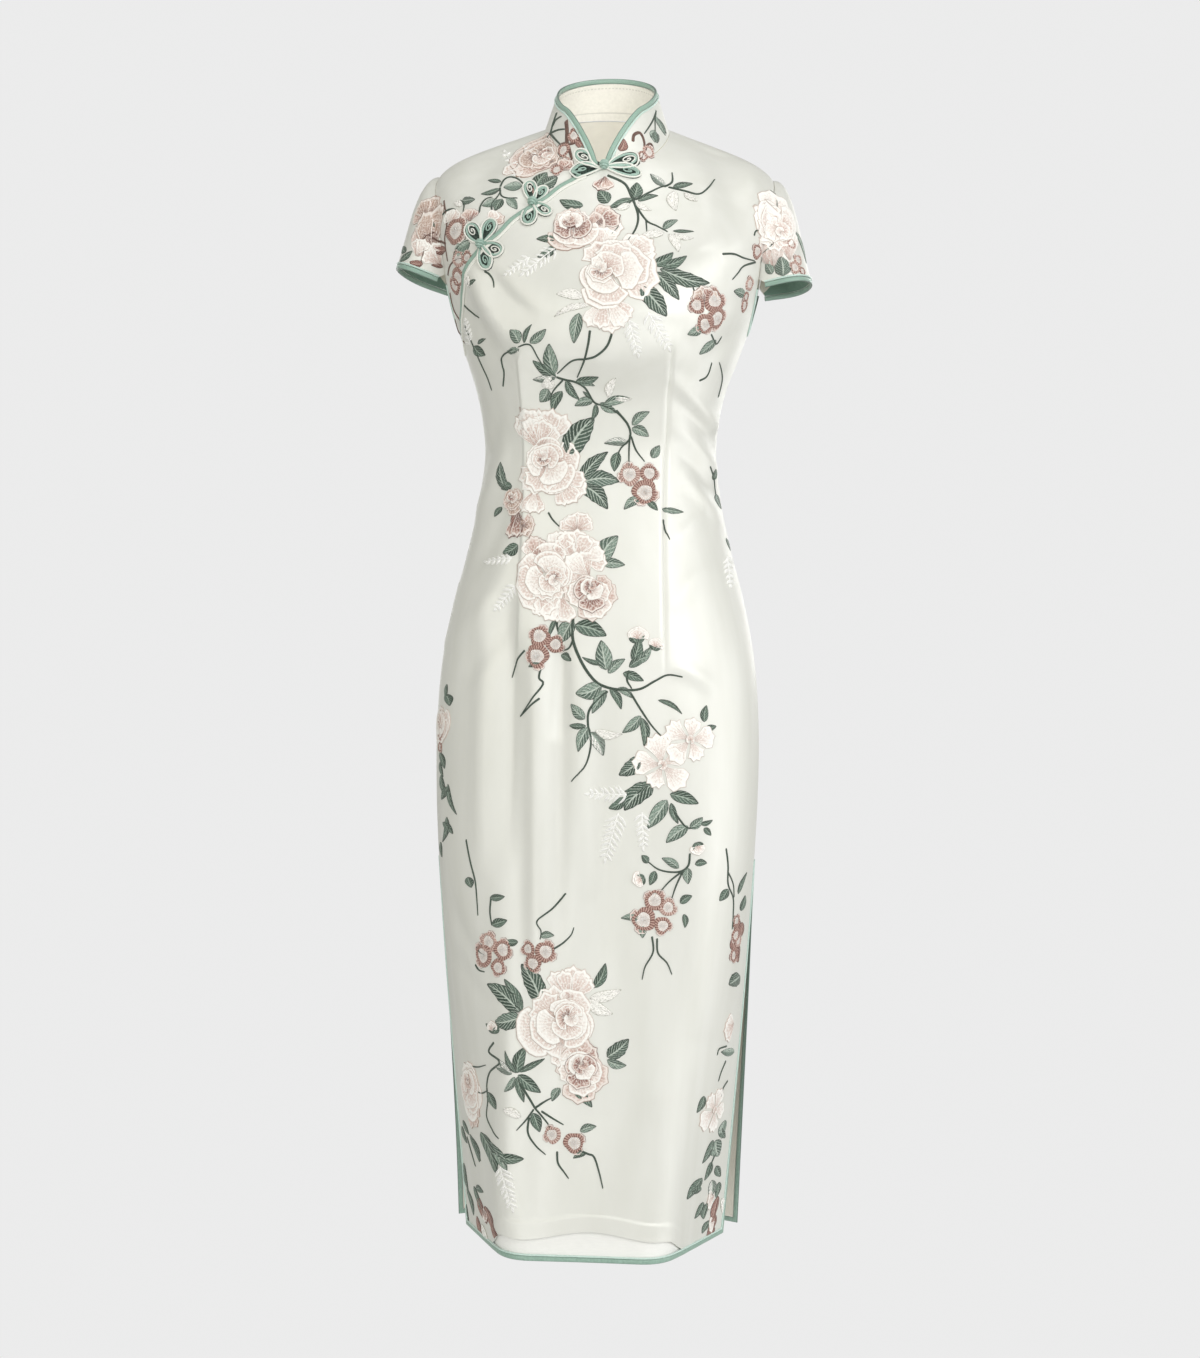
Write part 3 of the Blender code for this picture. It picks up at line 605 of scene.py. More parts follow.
def new_piece(name, mesh, materials):
    obj = in_scene(name, mesh)
    for material in materials:
        obj.data.materials.append(material)
    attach(obj, ROOT)
    return obj


def set_uvs(mesh, name, corners):
    layer = mesh.uv_layers.new(name=name)
    layer.data.foreach_set("uv", np.asarray(corners, np.float32).ravel())


def mesh_from(name, vertices, faces, materials, uvs, slots=None, sharp=PANEL_SHARP):
    mesh = bpy.data.meshes.new(name)
    mesh.from_pydata(np.asarray(vertices, float).tolist(), [], faces)
    set_uvs(mesh, "thread", [uvs[i] for face in faces for i in face])
    mesh.polygons.foreach_set("use_smooth", [True] * len(faces))
    if slots is not None:
        mesh.polygons.foreach_set("material_index", slots)
    mesh.set_sharp_from_angle(angle=sharp)
    return new_piece(name, mesh, materials)


def grid_uvs(grid):
    """Across and along a grid, in metres."""
    across = distance_along(grid[len(grid) // 2])
    along = distance_along(grid[:, grid.shape[1] // 2])
    return [(a, b) for b in along for a in across]


def grid_quads(rows, cols):
    """The corners of a grid's squares, as places in its list of points."""
    index = np.arange(rows * cols).reshape(rows, cols)
    corners = (index[:-1, :-1], index[1:, :-1], index[1:, 1:], index[:-1, 1:])
    return np.stack(corners, -1).reshape(-1, 4)


def outward_order(grid, normals):
    """1 when a grid's squares face along its normals, and -1 when they have to be turned."""
    facing = np.cross(grid[1, 0] - grid[0, 0], grid[0, 1] - grid[0, 0]) @ normals[0, 0]
    return 1 if facing > 0 else -1


def wall(name, grid, normals, thickness, materials):
    """A panel with an outer face, an inner face and a rim."""
    rows, cols, _ = grid.shape
    inner = grid - normals * thickness
    vertices = np.concatenate([grid.reshape(-1, 3), inner.reshape(-1, 3)])
    flip = outward_order(grid, normals)
    deep = rows * cols
    faces = []
    for quad in grid_quads(rows, cols):
        faces.append(tuple(quad[::flip].tolist()))
        faces.append(tuple((deep + quad[::-flip]).tolist()))
    slots = [0, 1] * (len(faces) // 2)
    rim = list(range(cols))
    rim += [r * cols + cols - 1 for r in range(1, rows)]
    rim += [(rows - 1) * cols + c for c in range(cols - 2, -1, -1)]
    rim += [r * cols for r in range(rows - 2, 0, -1)]
    for a, b in zip(rim, rim[1:] + rim[:1]):
        faces.append((a, b, deep + b, deep + a)[::flip])
        slots.append(0)
    uvs = grid_uvs(grid) * 2
    return mesh_from(name, vertices, faces, materials, uvs, slots)


TUBE_ROUND = 0.01  # the UV measure once round a swept tube


def tube_faces(first, count, rings):
    """The sides and the two ends of a tube, whose rings of points are listed from the first."""
    last = first + (rings - 1) * count
    faces = []
    for low in range(first, last, count):
        high = low + count
        for j in range(count):
            k = (j + 1) % count
            faces.append((low + j, low + k, high + k, high + j))
    start = range(first, first + count)
    return [*faces, tuple(reversed(start)), tuple(range(last, last + count))]


def swept(name, rings, material):
    """A tube through rings with equal numbers of points."""
    count = len(rings[0])
    vertices = np.concatenate(rings)
    faces = tube_faces(0, count, len(rings))
    along = distance_along(np.array([ring_points.mean(axis=0) for ring_points in rings]))
    places = [(j / count * TUBE_ROUND, a) for a in along for j in range(count)]
    return mesh_from(name, vertices, faces, [material], places)


# ---------------------------------------------------------------- materials

BLACK = (0.0, 0.0, 0.0)
OPEN = (1.0, 1.0, 1.0)


class Nodes:
    """A short way to build a material's node tree."""

    def __init__(self, name):
        self.material = bpy.data.materials.new(name)
        self.material.use_nodes = True
        self.tree = self.material.node_tree
        self.shader = self.tree.nodes["Principled BSDF"]

    def add(self, kind, **values):
        node = self.tree.nodes.new(kind)
        for key, value in values.items():
            if key in node.inputs:
                node.inputs[key].default_value = value
            else:
                setattr(node, key, value)
        return node

    def link(self, source, target):
        self.tree.links.new(source, target)

    def maths(self, operation, a, b=0.0):
        node = self.add("ShaderNodeMath", operation=operation)
        for slot, value in zip(node.inputs, (a, b)):
            if isinstance(value, (int, float)):
                slot.default_value = value
            else:
                self.link(value, slot)
        return node.outputs[0]

    def ramp(self, source, stops):
        node = self.add("ShaderNodeValToRGB")
        elements = node.color_ramp.elements
        while len(elements) < len(stops):
            elements.new(0.5)
        for element, (place, colour) in zip(elements, stops):
            element.position = place
            element.color = (*colour, 1)
        self.link(source, node.inputs[0])
        return node.outputs[0]

    def mix(self, factor, a, b):
        node = self.add("ShaderNodeMix", data_type="RGBA")
        slots = (node.inputs[0], node.inputs[6], node.inputs[7])
        for slot, value in zip(slots, (factor, a, b)):
            if isinstance(value, (int, float)):
                slot.default_value = value
            elif isinstance(value, tuple):
                slot.default_value = (*value, 1)
            else:
                self.link(value, slot)
        return node.outputs[2]

    def noise(self, scale, detail=3.0, vector=None):
        node = self.add("ShaderNodeTexNoise", Scale=scale, Detail=detail)
        if vector is not None:
            self.link(vector, node.inputs["Vector"])
        return node.outputs["Fac"]

    def scaled(self, vector, scale):
        node = self.add("ShaderNodeMapping", Scale=scale)
        self.link(vector, node.inputs["Vector"])
        return node.outputs[0]

    def bump(self, height, distance, strength):
        node = self.add("ShaderNodeBump", Distance=distance, Strength=strength)
        self.link(height, node.inputs["Height"])
        return node.outputs["Normal"]

    def finish(self, colour, normal=None, rough=None, **sockets):
        """Links the shader's colour and, where given, its bump and roughness, and sets the rest."""
        for key, value in sockets.items():
            self.shader.inputs[key.replace("_", " ")].default_value = value
        for value, name in ((colour, "Base Color"), (normal, "Normal"), (rough, "Roughness")):
            if value is not None:
                self.link(value, self.shader.inputs[name])
        return self.material


def uv_places(nodes, layer):
    """A UV layer's places: across, along and both."""
    uv = nodes.add("ShaderNodeUVMap", uv_map=layer)
    split = nodes.add("ShaderNodeSeparateXYZ")
    nodes.link(uv.outputs[0], split.inputs[0])
    return split.outputs[0], split.outputs[1], uv.outputs[0]


def wave(nodes, value, spacing, wobble=None, amount=2.0):
    angle = nodes.maths("MULTIPLY", value, 2 * math.pi / spacing)
    if wobble is not None:
        angle = nodes.maths("ADD", angle, nodes.maths("MULTIPLY", wobble, amount))
    return nodes.maths("SINE", angle)


def toned(colour, share):
    return tuple(c * share for c in colour)


SATIN_FLOAT = 0.00045  # from one thread of the satin to the next, in metres


def satin_material(name, light, shade):
    """Silk satin: long floats that catch the light, faint slubs and a soft mottling."""
    nodes = Nodes(name)
    across, _, _ = uv_places(nodes, "thread")
    mottle = nodes.noise(9.0, 3.0)
    colour = nodes.ramp(mottle, ((0.3, shade), (0.7, light)))
    fleck = nodes.noise(2200.0, 2.0)
    floats = nodes.maths("MULTIPLY", wave(nodes, across, SATIN_FLOAT), 0.25)
    relief = nodes.maths("ADD", floats, fleck)
    normal = nodes.bump(relief, 0.00006, 0.5)
    rough = nodes.maths("ADD", nodes.maths("MULTIPLY", nodes.noise(60.0, 3.0), 0.10), 0.36)
    return nodes.finish(
        colour,
        normal,
        rough,
        Metallic=0.18,
        Anisotropic=0.45,
        Sheen_Weight=0.12,
        Sheen_Roughness=0.4,
        Specular_IOR_Level=0.55,
    )


LINING_YARN = 0.0007
RIB_SPACING = 0.0011
STITCH_SPACING = 0.0042
UNDERSTITCH, COLLAR_SEAM = 0.0045, 0.008  # below the collar's top, and above its foot


def woven(nodes, across, along, mottle):
    """A plain weave's bump, over a mottle."""
    warp, weft = wave(nodes, across, LINING_YARN), wave(nodes, along, LINING_YARN)
    relief = nodes.maths("ADD", nodes.maths("MULTIPLY", warp, weft), mottle)
    return nodes.bump(relief, 0.00008, 0.5)


def lining_material(name, colour):
    nodes = Nodes(name)
    across, along, _ = uv_places(nodes, "thread")
    mottle = nodes.noise(30.0, 4.0)
    tone = nodes.ramp(mottle, ((0.25, toned(colour, 0.95)), (0.75, colour)))
    normal = woven(nodes, across, along, mottle)
    return nodes.finish(tone, normal, Roughness=0.62, Sheen_Weight=0.2, Specular_IOR_Level=0.3)


def sleeve_lining_material(name, colour, tape, depth):
    """The lining, with a bias tape along the hem, from a depth below the sleeve's head; the tape's green is
    deepened as painted shade.
    """
    nodes = Nodes(name)
    across, along, _ = uv_places(nodes, "thread")
    mottle = nodes.noise(60.0, 4.0)
    tone = nodes.ramp(mottle, ((0.25, toned(colour, 0.86)), (0.75, colour)))
    edge = nodes.ramp(along, ((depth - 0.0005, BLACK), (depth, OPEN)))
    normal = woven(nodes, across, along, mottle)
    taped = nodes.mix(edge, tone, tape)
    return nodes.finish(taped, normal, Roughness=0.55, Sheen_Weight=0.2, Specular_IOR_Level=0.3)


def line_along(nodes, along, place, half_width):
    """1 within a line's half width, and 0 beside it."""
    line = nodes.maths("COMPARE", along, place)
    line.node.inputs[2].default_value = half_width
    return line


def collar_lining_material(name, colour, height):
    """The collar's lining: an understitched row near the top, and a seam above the neck."""
    nodes = Nodes(name)
    across, along, _ = uv_places(nodes, "thread")
    mottle = nodes.noise(40.0, 4.0)
    tone = nodes.ramp(mottle, ((0.3, toned(colour, 0.92)), (0.7, colour)))
    dashes = nodes.maths("GREATER_THAN", wave(nodes, across, STITCH_SPACING), -0.3)
    row = line_along(nodes, along, height - UNDERSTITCH, 0.0006)
    seam = line_along(nodes, along, COLLAR_SEAM, 0.0007)
    stitched = nodes.maths("MULTIPLY", dashes, row)
    lines = nodes.maths("MULTIPLY", nodes.maths("ADD", stitched, seam), 0.45)
    shown = nodes.mix(lines, tone, toned(colour, 0.55))
    relief = nodes.maths("SUBTRACT", mottle, nodes.maths("ADD", row, seam))
    return nodes.finish(shown, nodes.bump(relief, 0.0002, 0.5), Roughness=0.6, Sheen_Weight=0.2)


# Where painted shade darkens a bias strip along its folds. Columns: place round it, and none or all of its
# face's own tone, the rest painted shade
STRIP_FOLD_SHADE = (
    (0.02, BLACK), (0.09, OPEN), (0.34, OPEN),
    (0.43, BLACK), (0.54, BLACK), (0.64, OPEN),
)


def binding_material(name, light, dark, folds=False):
    """Bias-cut satin: fine slanted ribs, and where folds is set, painted shade along the strip's folds."""
    nodes = Nodes(name)
    across, along, _ = uv_places(nodes, "thread")
    slant = nodes.maths("ADD", nodes.maths("MULTIPLY", across, 0.6), along)
    rib = wave(nodes, slant, RIB_SPACING)
    mottle = nodes.noise(140.0, 3.0)
    tone = nodes.ramp(mottle, ((0.3, dark), (0.7, light)))
    if folds:
        unshaded_share = nodes.ramp(nodes.maths("MULTIPLY", across, 1 / TUBE_ROUND), STRIP_FOLD_SHADE)
        # Painted shade: the dark tone at 0.42 along the strip's folds.
        tone = nodes.mix(unshaded_share, toned(dark, 0.42), tone)
    relief = nodes.maths("ADD", nodes.maths("MULTIPLY", rib, 0.4), mottle)
    normal = nodes.bump(relief, 0.00012, 0.6)
    return nodes.finish(
        tone,
        normal,
        Roughness=0.34,
        Sheen_Weight=0.25,
        Sheen_Roughness=0.4,
        Anisotropic=0.3,
        Specular_IOR_Level=0.5,
    )


SATIN = satin_material("ivory_satin", (0.80, 0.802, 0.76), (0.752, 0.754, 0.705))
LINING_CREAM = lining_material("cream_lining", (0.88, 0.85, 0.76))
# The tape is a green band inside the sleeve, painted darker than the binding's green as shade.
SHADED_TAPE_GREEN, TAPE_FROM = (0.17, 0.28, 0.225), 0.0655
LINING_SLEEVE = sleeve_lining_material("sleeve_lining", (0.78, 0.75, 0.65), SHADED_TAPE_GREEN, TAPE_FROM)
LINING_WHITE = lining_material("white_lining", (0.93, 0.93, 0.905))
COLLAR_CREAM = (0.86, 0.835, 0.76)
# The green binding has painted shade along its folds.
GREEN = binding_material("sage_binding", (0.33, 0.48, 0.405), (0.25, 0.38, 0.315), folds=True)
IVORY_CORD = binding_material("ivory_cord", (0.88, 0.88, 0.83), (0.76, 0.77, 0.71))
PALE_CORD = binding_material("pale_cord", (0.63, 0.78, 0.72), (0.54, 0.70, 0.64))
MINT = binding_material("mint_cord", (0.45, 0.61, 0.535), (0.25, 0.38, 0.32))

# ---------------------------------------------------------------- panels


def evenly(low, high, count):
    return low + (high - low) * np.linspace(0, 1, count)


# Columns either side of the darts, between them, and about each dart in steps
SIDE_COLUMNS, MIDDLE_COLUMNS = 24, 48
DART_COLUMNS, DART_STEP = np.array((-2.0, -1.0, -0.45, 0.0, 0.45, 1.0, 2.0)), 0.0030


def front_spread(level, right, left):
    """Column places across the front, with seven about each dart."""
    z = ARMPIT_Z + min(level, 0.0)
    length = section_length(FRONT, level)
    base_right = seam_inset(FRONT, min(level, 0.0))
    width = 1 - 2 * base_right
    dart = (0.5 + dart_place(z) / length - base_right) / width
    near = dart + DART_STEP / length / width * DART_COLUMNS
    mirrored = (1 - near)[::-1]
    spread = np.concatenate(
        [
            np.linspace(0, mirrored[0], SIDE_COLUMNS)[:-1],
            mirrored,
            np.linspace(mirrored[-1], near[0], MIDDLE_COLUMNS)[1:-1],
            near,
            np.linspace(near[-1], 1, SIDE_COLUMNS)[1:],
        ]
    )
    return right + (left - right) * spread


# The front's rows turn from its bound hem's edge to level rows over this height
HEM_BAND, HEM_ROWS = 0.05, 24
# The satin's turned-up hem stands a little proud, with a soft upper edge, and dies away to the sides
TURN_UP, TURN_UP_RISE, TURN_UP_EDGE, TURN_UP_FADE = 0.0155, 0.0010, 0.004, 0.03


def front_panel():
    def shares_at(level):
        inset = seam_inset(FRONT, level)
        right = max(inset, placket(level)) if level > PLACKET[-1, 0] else inset
        return front_spread(level, right, 1 - max(inset, armhole(FRONT, level)))

    shares = shares_at(HEM_LEVEL)
    across = (shares - 0.5) * section_length(FRONT, HEM_LEVEL)
    rise = hem_rise(across) + BINDING_WIDTH + GAP
    flat_part = smooth((HEM_SHOW_REACH[1] - np.abs(across)) / TURN_UP_FADE)
    rows = []
    for t in np.linspace(0, 1, HEM_ROWS)[:-1]:
        levels = HEM_LEVEL + rise + (HEM_BAND - rise) * t
        spots = [(FRONT, level, share) for level, share in zip(levels, shares)]
        points, normals = edge_through(cloth_row, spots)
        doubled = 1 - smooth(((HEM_BAND - rise) * t - TURN_UP) / TURN_UP_EDGE)
        lift = TURN_UP_RISE * doubled * flat_part
        rows.append((points + normals * lift[:, None], normals))
    for level in fine_levels(HEM_LEVEL + HEM_BAND):
        rows.append(cloth_row(FRONT, level, shares_at(level)))
    return stack(rows)


def back_panel():
    rows = []
    for level in fine_levels(ABOVE_HEM):
        edge = max(seam_inset(BACK, level), armhole(BACK, level))
        rows.append(cloth_row(BACK, level, evenly(edge, 1 - edge, COLUMNS_FINE)))
    return stack(rows)


# The underlap rises to the front's own level this far from the opening, over this distance,
# and only above its lower end
UNDERLAP_CLEAR, UNDERLAP_RISE, UNDERLAP_END = 0.009, 0.020, 0.045
UNDERLAP_LOW, UNDERLAP_COLUMNS = -0.062, 44


def underlap_drop(shares, level):
    away = (placket(level) - shares) * section_length(FRONT, 0.0)
    rising = smooth((away - UNDERLAP_CLEAR) / UNDERLAP_RISE)
    above_end = float(smooth((level + UNDERLAP_END) / UNDERLAP_END))
    return -UNDERLAP_DROP * (1 - rising * above_end)


def underlap_panel(tucked=UNDERLAP_WIDTH):
    """The underlap, with as much of it tucked below the front."""
    rows = []
    hidden = tucked / section_length(FRONT, 0.0)
    for level in fine_levels(UNDERLAP_LOW):
        right = max(seam_inset(FRONT, level), armhole(FRONT, level))
        shares = evenly(right, max(placket(level) + hidden, right + 0.001), UNDERLAP_COLUMNS)
        points, normals = cloth_row(FRONT, level, shares)
        rows.append((points + normals * underlap_drop(shares, level)[:, None], normals))
    return stack(rows)


UNDERLAY_ENDS, UNDERLAY_COLUMNS, UNDERLAY_ROWS = (0.105, 0.895), 70, 8


def underlay_strip():
    rows = []
    shares = evenly(*UNDERLAY_ENDS, UNDERLAY_COLUMNS)
    for z in np.linspace(HEM_Z + BINDING_WIDTH + GAP, UNDERLAY_TOP_Z, UNDERLAY_ROWS):
        points, normals = cloth_row(FRONT, z - ARMPIT_Z, shares)
        rows.append((points - normals * (CLOTH + 2 * GAP), normals))
    return stack(rows)


COLLAR_HEIGHT = 0.048
COLLAR_FOOT = 0.015  # the neck seam's share of that height
COLLAR_ROWS, COLLAR_COLUMNS, COLLAR_CROWDING = 14, 56, 1.25  # columns crowd at the front corners


def collar_panel(inset):
    end = COLLAR_END / collar_length()
    half = end + (0.5 - end) * np.linspace(0, 1, COLLAR_COLUMNS) ** COLLAR_CROWDING
    turns = np.concatenate([half, 1 - half[-2::-1]])
    step = 0.002
    top = collar_rise(turns) * (1 - BINDING_WIDTH / COLLAR_HEIGHT)
    grid, normals = [], []
    for share in np.linspace(0, 1, COLLAR_ROWS):
        height = COLLAR_FOOT + (top - COLLAR_FOOT) * share
        around = collar_point(turns + step, height) - collar_point(turns - step, height)
        up = collar_point(turns, height + 0.1) - collar_point(turns, height)
        normal = unit(np.cross(up, around))
        grid.append(collar_point(turns, height) - normal * inset)
        normals.append(normal)
    return np.stack(grid), np.stack(normals)


def sleeve_hem(u, side):
    """The cap sleeve's hem, from its front end by the tip to its back end."""
    front, tip, back = (np.array(p) for p in (SLEEVE_FRONT_END, SLEEVE_TIP[side], SLEEVE_BACK_END))
    ends = front + (back - front) * ((1 - math.cos(math.pi * u)) / 2)
    out = tip - (front + back) / 2
    bulge = np.array([0, -SLEEVE_MOUTH_BULGE * math.sin(2 * math.pi * u), 0])
    return ends + out * math.sin(math.pi * u) ** 0.85 + bulge


SLEEVE_LOW = 0.115  # the armhole's level where the sleeve starts
SLEEVE_LEVELS, SLEEVE_ROWS = 32, 30
SLEEVE_SEAM_TURN = 0.6  # how far its shading turns to the body's along the seam
# How a sleeve leaves its seam at the shoulder, and how it comes to its hem there
SLEEVE_LEAVES, SLEEVE_COMES = (0.022, 0, 0.003), (-0.012, 0, 0.040)


def sleeve_panel(side):
    rim, rim_normals = armhole_rim(side, np.linspace(SLEEVE_LOW, SHOULDER_LEVEL, SLEEVE_LEVELS))
    mirror = np.array([-1.0 if side == RIGHT else 1.0, 1, 1])
    off = edge_directions(rim, rim_normals) * (-1 if side == RIGHT else 1)
    count = len(rim)
    made = []
    for i in range(count):
        u = i / (count - 1)
        top = math.sin(math.pi * u) ** 2
        start = rim[i] + off[i] * SLEEVE_GAP
        end = leaned(sleeve_hem(u, side) * mirror)
        run = (end - start) / 3
        low = start + run * (1 - top) + mirror * SLEEVE_LEAVES * top
        high = end - run * (1 - top) + mirror * SLEEVE_COMES * top
        made.append(bezier(start, low, high, end, np.linspace(0, 1, SLEEVE_ROWS)[:, None]))
    grid = np.stack(made, axis=1)
    normals = unit(np.cross(np.gradient(grid, axis=0), np.gradient(grid, axis=1)) * mirror[0])
    normals[:, 0], normals[:, -1] = normals[:, 1], normals[:, -2]
    normals[0] = unit(normals[0] + rim_normals * SLEEVE_SEAM_TURN)
    return grid, normals


# ---------------------------------------------------------------- bindings

SQUARENESS = 0.65  # 1 is an ellipse, and 0 a rectangle


def rolled_profile(width, thickness, count=12):
    """A soft folded strip's profile, as distances off the edge and above the cloth's middle."""
    profile = []
    for k in range(count):
        angle = 2 * math.pi * k / count
        x, y = (math.copysign(abs(v) ** SQUARENESS, v) for v in (math.cos(angle), math.sin(angle)))
        profile.append((width * (0.5 - 0.5 * x), thickness / 2 * y))
    return profile


def along_edge(name, edge, profile, material, shift=0.0, lift=0.0):
    """A strip or cord beside a panel's edge."""
    points, normals = edge
    off = edge_directions(points, normals)
    middle = points - normals * CLOTH / 2
    rings = []
    for point, normal, away in zip(middle, normals, off):
        ring_points = [point + away * (GAP + shift + x) + normal * (y + lift) for x, y in profile]
        rings.append(np.array(ring_points))
    return swept(name, rings, material)


def joined(*runs):
    return tuple(np.concatenate([run[i] for run in runs]) for i in (0, 1))


def turned(edge):
    return edge[0][::-1], edge[1][::-1]


def panel_edge(face, levels, side):
    """A panel's side edge through these levels."""
    spots = []
    for level in levels:
        at_opening = face == FRONT and side == RIGHT and level > PLACKET[-1, 0]
        share = placket(level) if at_opening else side_share(face, level, side)
        spots.append((face, level, share))
    return edge_through(cloth_row, spots)


HEM_SINK = 0.0016  # the front's hem binding lies back below the satin that ends above it
HEM_COLUMNS, SLIT_ROWS, OPENING_ROWS = 90, 70, 60


def hem_edge(face):
    inset = seam_inset(face, HEM_LEVEL)
    shares = evenly(inset, 1 - inset, HEM_COLUMNS)[1:-1]
    points, normals = cloth_row(face, ABOVE_HEM, shares)
    if face == FRONT:
        across = (shares - 0.5) * section_length(FRONT, HEM_LEVEL)
        points = points - normals * (HEM_SINK * hem_rise(across) / HEM_SHOW)[:, None]
    return points, normals


def slit_and_hem(face):
    levels = np.linspace(SLIT_LEVEL - SLIT_TURN, ABOVE_HEM, SLIT_ROWS)
    first, second = (RIGHT, LEFT) if face == FRONT else (LEFT, RIGHT)
    hem = hem_edge(face)
    down = panel_edge(face, levels, first)
    up = turned(panel_edge(face, levels, second))
    return joined(down, hem if face == FRONT else turned(hem), up)


STRIP = rolled_profile(BINDING_WIDTH, BINDING_THICKNESS)
PIPE_RADIUS, PIPE_SHIFT, PIPE_LIFT = 0.0010, -0.0011, 0.0012
PIPE_TURNS = [2 * math.pi * k / 8 for k in range(8)]
PIPE = [(-PIPE_RADIUS * math.cos(a), PIPE_RADIUS * math.sin(a)) for a in PIPE_TURNS]
PIPING_WIDTH, PIPING_THICKNESS = 0.0036, 0.0013
OPENING_LEVELS = (0.95, -0.028)  # of its binding, from the neck down


def bound(name, edge, node, piping=False):
    """A green binding with the pale cord, or on the opening the ivory strip, that lies beside it."""
    strip = along_edge(name, edge, STRIP, GREEN)
    if piping:
        flat = rolled_profile(PIPING_WIDTH, PIPING_THICKNESS)
        cord = along_edge(f"{name}_cord", edge, flat, IVORY_CORD, -PIPING_WIDTH - GAP, PIPING_THICKNESS)
    else:
        cord = along_edge(f"{name}_cord", edge, PIPE, PALE_CORD, PIPE_SHIFT, PIPE_LIFT)
    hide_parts(node)
    return [strip, cord]


def add_panels():
    opening = panel_edge(FRONT, np.linspace(*OPENING_LEVELS, OPENING_ROWS), RIGHT)
    bound("placket_binding_satin", opening, "placket_binding", piping=True)
    bound("front_binding_satin", slit_and_hem(FRONT), "front_binding")
    bound("back_binding_satin", slit_and_hem(BACK), "back_binding")
    collar = collar_panel(0)
    rise = (collar[0][1:-1, 0], collar[1][1:-1, 0])
    top = (collar[0][-1], collar[1][-1])
    fall = (collar[0][-2:0:-1, -1], collar[1][-2:0:-1, -1])
    bound("collar_binding_satin", joined(rise, top, fall), "collar_binding")

    grids = [front_panel(), back_panel(), underlap_panel(), collar]
    front = wall("front_panel", *grids[0], CLOTH, [SATIN, LINING_CREAM])
    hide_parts("front")
    back = wall("back_panel", *grids[1], CLOTH, [SATIN, LINING_CREAM])
    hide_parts("back")
    under = wall("underlap_panel", *grids[2], CLOTH, [SATIN, LINING_CREAM])
    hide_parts("under_front")
    strip = wall("hem_underlay_strip", *underlay_strip(), LINING, [LINING_WHITE, LINING_WHITE])
    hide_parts("hem_underlay")
    outer = wall("collar_panel", *collar, CLOTH, [SATIN, LINING_CREAM])
    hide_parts("collar")
    inner = collar_panel(CLOTH + GAP)
    centre_back = inner[0][:, COLLAR_COLUMNS - 1]
    tall = distance_along(centre_back)[-1]
    lining = collar_lining_material("collar_lining_satin", COLLAR_CREAM, tall)
    facing = wall("collar_lining", *inner, LINING, [lining, lining])
    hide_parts("collar_facing")
    grids[2] = underlap_panel(SHOWN_UNDERLAP)
    return grids


LOW_ARMHOLE = np.linspace(0.09, 0.0, 20)  # the levels that are bound, below the sleeve
SHOWN_UNDERLAP = -0.004  # stitches lie on what shows of the underlap


def add_sleeves():
    grids = []
    for side, label in ((RIGHT, "right"), (LEFT, "left")):
        grid, normals = sleeve_panel(side)
        hem = (grid[-1], normals[-1])
        low = armhole_rim(side, LOW_ARMHOLE)
        hem, low = (turned(hem), low) if side == RIGHT else (hem, turned(low))
        hem_trim = bound(f"sleeve_{label}_hem", hem, f"sleeve_binding_{label}")
        bound(f"armhole_{label}_edge", low, f"armhole_binding_{label}")
        sleeve = wall(f"sleeve_{label}_panel", grid, normals, CLOTH, [SATIN, LINING_SLEEVE])
        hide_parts(f"sleeve_{label}")
        grids.append((grid, normals))
    return grids


# ---------------------------------------------------------------- thread


def srgb(red, green, blue):
    """A shader colour from the 0 to 255 values that a screen shows."""
    screen = (red / 255, green / 255, blue / 255)
    return tuple(v / 12.92 if v <= 0.04045 else ((v + 0.055) / 1.055) ** 2.4 for v in screen)


def stitch_places(nodes):
    """A stitched shape's own coordinates: across -1 to 1, along 0 to 1, and both in metres."""
    across, along, _ = uv_places(nodes, "place")
    wide, deep, metres = uv_places(nodes, "thread")
    return across, along, wide, deep, metres


THREAD_RELIEF, FLAT_RELIEF = 0.0003, 0.00008


def thread_finish(nodes, colour, relief, depth=THREAD_RELIEF):
    normal = nodes.bump(relief, depth, 0.9)
    return nodes.finish(
        colour,
        normal,
        Roughness=0.42,
        Sheen_Weight=0.12,
        Sheen_Roughness=0.35,
        Specular_IOR_Level=0.45,
    )


STREAK = (1300.0, 380.0, 1.0)  # threads run along a leaf


def grey(value):
    return (value, value, value)


def shown_over(nodes, base, place, low, high, colour, over=OPEN):
    """A colour over a base where a value rises between two numbers."""
    return nodes.mix(nodes.ramp(place, ((low, BLACK), (high, over))), base, colour)


def shown_under(nodes, base, place, low, high, colour, under=OPEN):
    """A colour over a base where a value lies below two numbers."""
    return nodes.mix(nodes.ramp(place, ((low, under), (high, BLACK))), base, colour)


